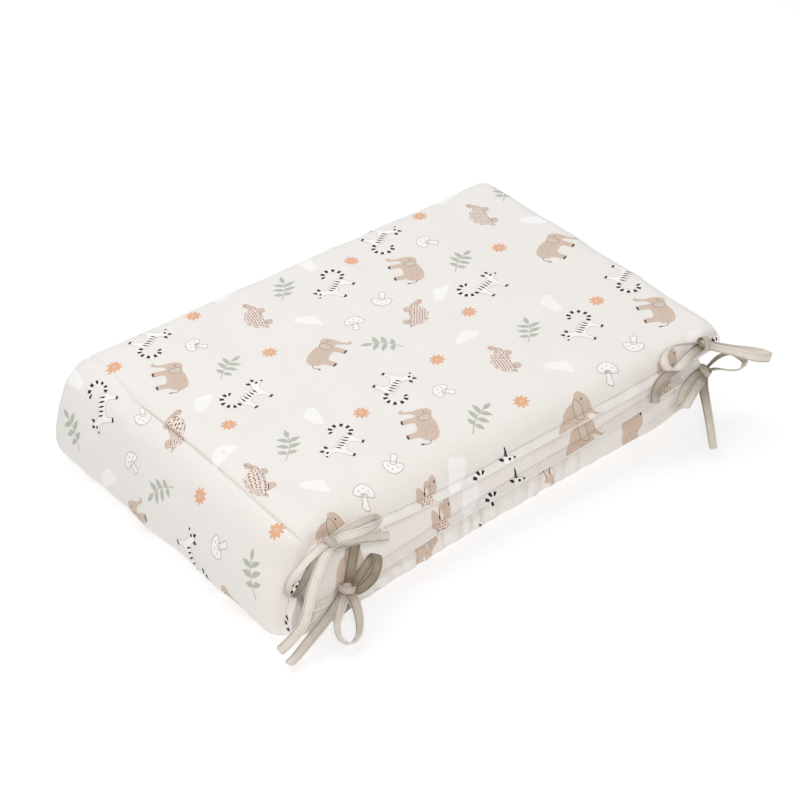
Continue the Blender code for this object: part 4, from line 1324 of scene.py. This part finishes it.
# The folded tape's outline, across its width. Columns: share of the half width, share of the half
# thickness.
TAPE_OUTLINE = ((-1.00, 0.00), (-0.975, 0.55), (-0.92, 0.85), (-0.80, 0.95), (-0.735, 0.62),
                (-0.67, 0.95), (-0.30, 1.00), (0.10, 0.96), (0.50, 1.00), (0.90, 0.90), (0.965, 0.55),
                (1.00, 0.00))
FINE_STEP = 4  # fine pieces in each straight piece of the solid's tape


def fine_tape(wanted, places):
    """A tape's middle line and width directions, in fine steps along the solid's own line."""
    route = through(places, TAPE_STEP)
    widths = tape_widths(route, wanted)
    last = len(route) - 1
    line, ways = [], []
    for i in range(last):
        before, start, end, after = (route[max(i - 1, 0)], route[i], route[i + 1],
                                     route[min(i + 2, last)])
        for k in range(FINE_STEP):
            line.append(rounded(before, start, end, after, k / FINE_STEP))
            ways.append(widths[i].lerp(widths[i + 1], k / FINE_STEP))
    return line + [route[-1]], ways + [widths[-1]]


# How a tape thins at both ends and narrows at its last one: the share left, and its growth a step.
TIP_THICK = (0.35, 0.4)
TIP_WIDE = (0.55, 0.22)
# Small waves of the thickness. Columns: share, waves along the whole bow, waves along the strand.
RIPPLES = ((0.06, 900, 700), (0.05, 0, 1730))


def add_tape(line, ways, points, faces, flat_places, half_sizes, from_start, closed=False):
    """A folded, topstitched tape along a line. Returns its length."""
    half_width, half_thick = half_sizes
    ring = [*TAPE_OUTLINE, *((a, -b) for a, b in reversed(TAPE_OUTLINE[1:-1]))]
    last = len(line) - 1
    length, first = 0.0, len(points)
    for i, (place, width) in enumerate(zip(line, ways)):
        if closed:
            ahead = (line[(i + 1) % (last + 1)] - line[i - 1]).normalized()
        else:
            ahead = (line[min(i + 1, last)] - line[max(i - 1, 0)]).normalized()
        if i:
            length += (place - line[i - 1]).length
        width = (width - ahead * width.dot(ahead)).normalized()
        up = ahead.cross(width)
        tip = 1.0 if closed else min(1.0, TIP_THICK[0] + TIP_THICK[1] * min(i, last - i))
        cut = 1.0 if closed else min(1.0, TIP_WIDE[0] + TIP_WIDE[1] * (last - i))
        ripple = sum(share * math.sin(from_start * whole + length * own)
                     for share, whole, own in RIPPLES)
        for a, b in ring:
            points.append(place + width * (a * half_width * cut)
                          + up * (b * half_thick * tip * (1.0 + ripple)))
            flat_places.append((a * half_width, from_start + length))
    size = len(ring)
    for i in range(last + 1 if closed else last):
        here, ahead = first + i * size, first + ((i + 1) % (last + 1)) * size
        for k in range(size):
            m = (k + 1) % size
            faces.append((here + k, here + m, ahead + m, ahead + k))
    if not closed:
        for base in (first, first + last * size):
            faces.append(tuple(base + k for k in range(size)))
    return length


KNOT_FRONT = (-0.52, -0.63, 0.58)  # the way that a knot's front faces
HEART_SIZE = 0.86  # half sizes of the rounded heart, as a share of the knot's
HEART_CLOTH = 0.005  # half size of its cloth laid flat
BAND_SIZE = (0.92, 1.02)  # the same for the band's loop, to the side and outwards
BAND_THICK = 0.00065
BAND_PIECES = 36
# The band's two turns. Columns: shift along the bow, tilt, half width, size.
BAND_TURNS = ((-0.0006, 0.00096, 0.0040, 1.02), (0.0012, -0.0018, 0.0030, 1.10))
KNOT_TAPE = 0.075  # flat length of tape wound into a knot


def add_knot(name, centre, half_sizes, points, faces, flat_places):
    """The tape wound round the middle of a bow, over a rounded heart."""
    centre = Vector(centre)
    way = Vector(KNOT_WAYS[name]).normalized()
    side = way.cross(Vector(KNOT_FRONT)).normalized()
    out = side.cross(way)
    mesh = bmesh.new()
    bmesh.ops.create_uvsphere(mesh, u_segments=24, v_segments=14, radius=1.0)
    first = len(points)
    for vert in mesh.verts:
        squash = 1.0 + 0.05 * math.sin(5.0 * vert.co.x + 3.0 * vert.co.z)
        points.append(centre + Vector(c * h * HEART_SIZE * squash for c, h in zip(vert.co, half_sizes)))
        flat_places.append((vert.co.x * HEART_CLOTH, vert.co.z * HEART_CLOTH))
    faces.extend(tuple(first + v.index for v in face.verts) for face in mesh.faces)
    mesh.free()
    for shift, tilt, wide, big in BAND_TURNS:
        line = []
        for k in range(BAND_PIECES):
            angle = math.tau * k / BAND_PIECES
            line.append(centre + way * (shift + tilt * math.sin(angle))
                        + side * (half_sizes[0] * BAND_SIZE[0] * big * math.cos(angle))
                        + out * (half_sizes[1] * BAND_SIZE[1] * big * math.sin(angle)))
        add_tape(line, [way] * BAND_PIECES, points, faces, flat_places, (wide, BAND_THICK),
                 0.3 * shift, closed=True)


def painted_shade_at(steps, share):
    """The painted shade at a share of the way through a strand's evenly spaced ones."""
    place = share * (len(steps) - 1)
    low = int(place)
    return steps[low] + (steps[low + 1] - steps[low]) * (place - low)


def make_tie(name, centre, half_sizes, strands, tape):
    """One bow: its strands of folded tape, its knot, and the painted shade of every point."""
    points, faces, flat_places, painted_shades = [], [], [], []
    total = 0.0
    for (_, wanted, places), steps in zip(strands, PAINTED_SHADES[name]):
        line, ways = fine_tape(wanted, places)
        total += add_tape(line, ways, points, faces, flat_places, (TAPE_HALF_WIDTH, TAPE_HALF), total)
        fresh = len(points) - len(painted_shades)
        for k, point in enumerate(points[-fresh:]):
            near = max(1.0 - (point - Vector(centre)).length / KNOT_REACH, 0.0)
            painted_shades.append(painted_shade_at(steps, k / fresh) + NEAR_KNOT_PAINTED_SHADE * near)
    add_knot(name, centre, half_sizes, points, faces, flat_places)
    painted_shades += [KNOT_PAINTED_SHADE] * (len(points) - len(painted_shades))
    total += KNOT_TAPE
    tie = build_mesh(name.replace("tie", "ribbon"), points, faces, flat_places, tape)
    face_outwards(tie)
    # Painted shade on each point, with more where the tape faces down.
    shaded = tie.data.attributes.new("shade", "FLOAT", "POINT")
    for vert, shade, value in zip(tie.data.vertices, painted_shades, shaded.data):
        value.value = min(shade + FACING_DOWN_PAINTED_SHADE * max(-vert.normal.z, 0.0), MOST_PAINTED_SHADE)
    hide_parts(name)


# ---- Putting it together --------------------------------------------------------------------
def main():
    set_up_studio()
    cloth = woven("printed_cotton_ground", linear(240, 238, 234), *PLAIN_WEAVE)
    thread = woven("taupe_thread", linear(196, 184, 172), *SEWING_THREAD)
    tape = stitched_tape()
    inks = {colour: woven(f"ink_{colour}", linear(*rgb), *PLAIN_WEAVE)
            for colour, rgb in PRINT_COLOURS.items()}
    strip = Strip()
    make_pad(strip, cloth)
    make_stitches(strip, thread)
    make_print(strip, inks)
    for name, (centre, half_sizes, strands) in BOWS.items():
        make_tie(name, centre, half_sizes, strands, tape)


main()
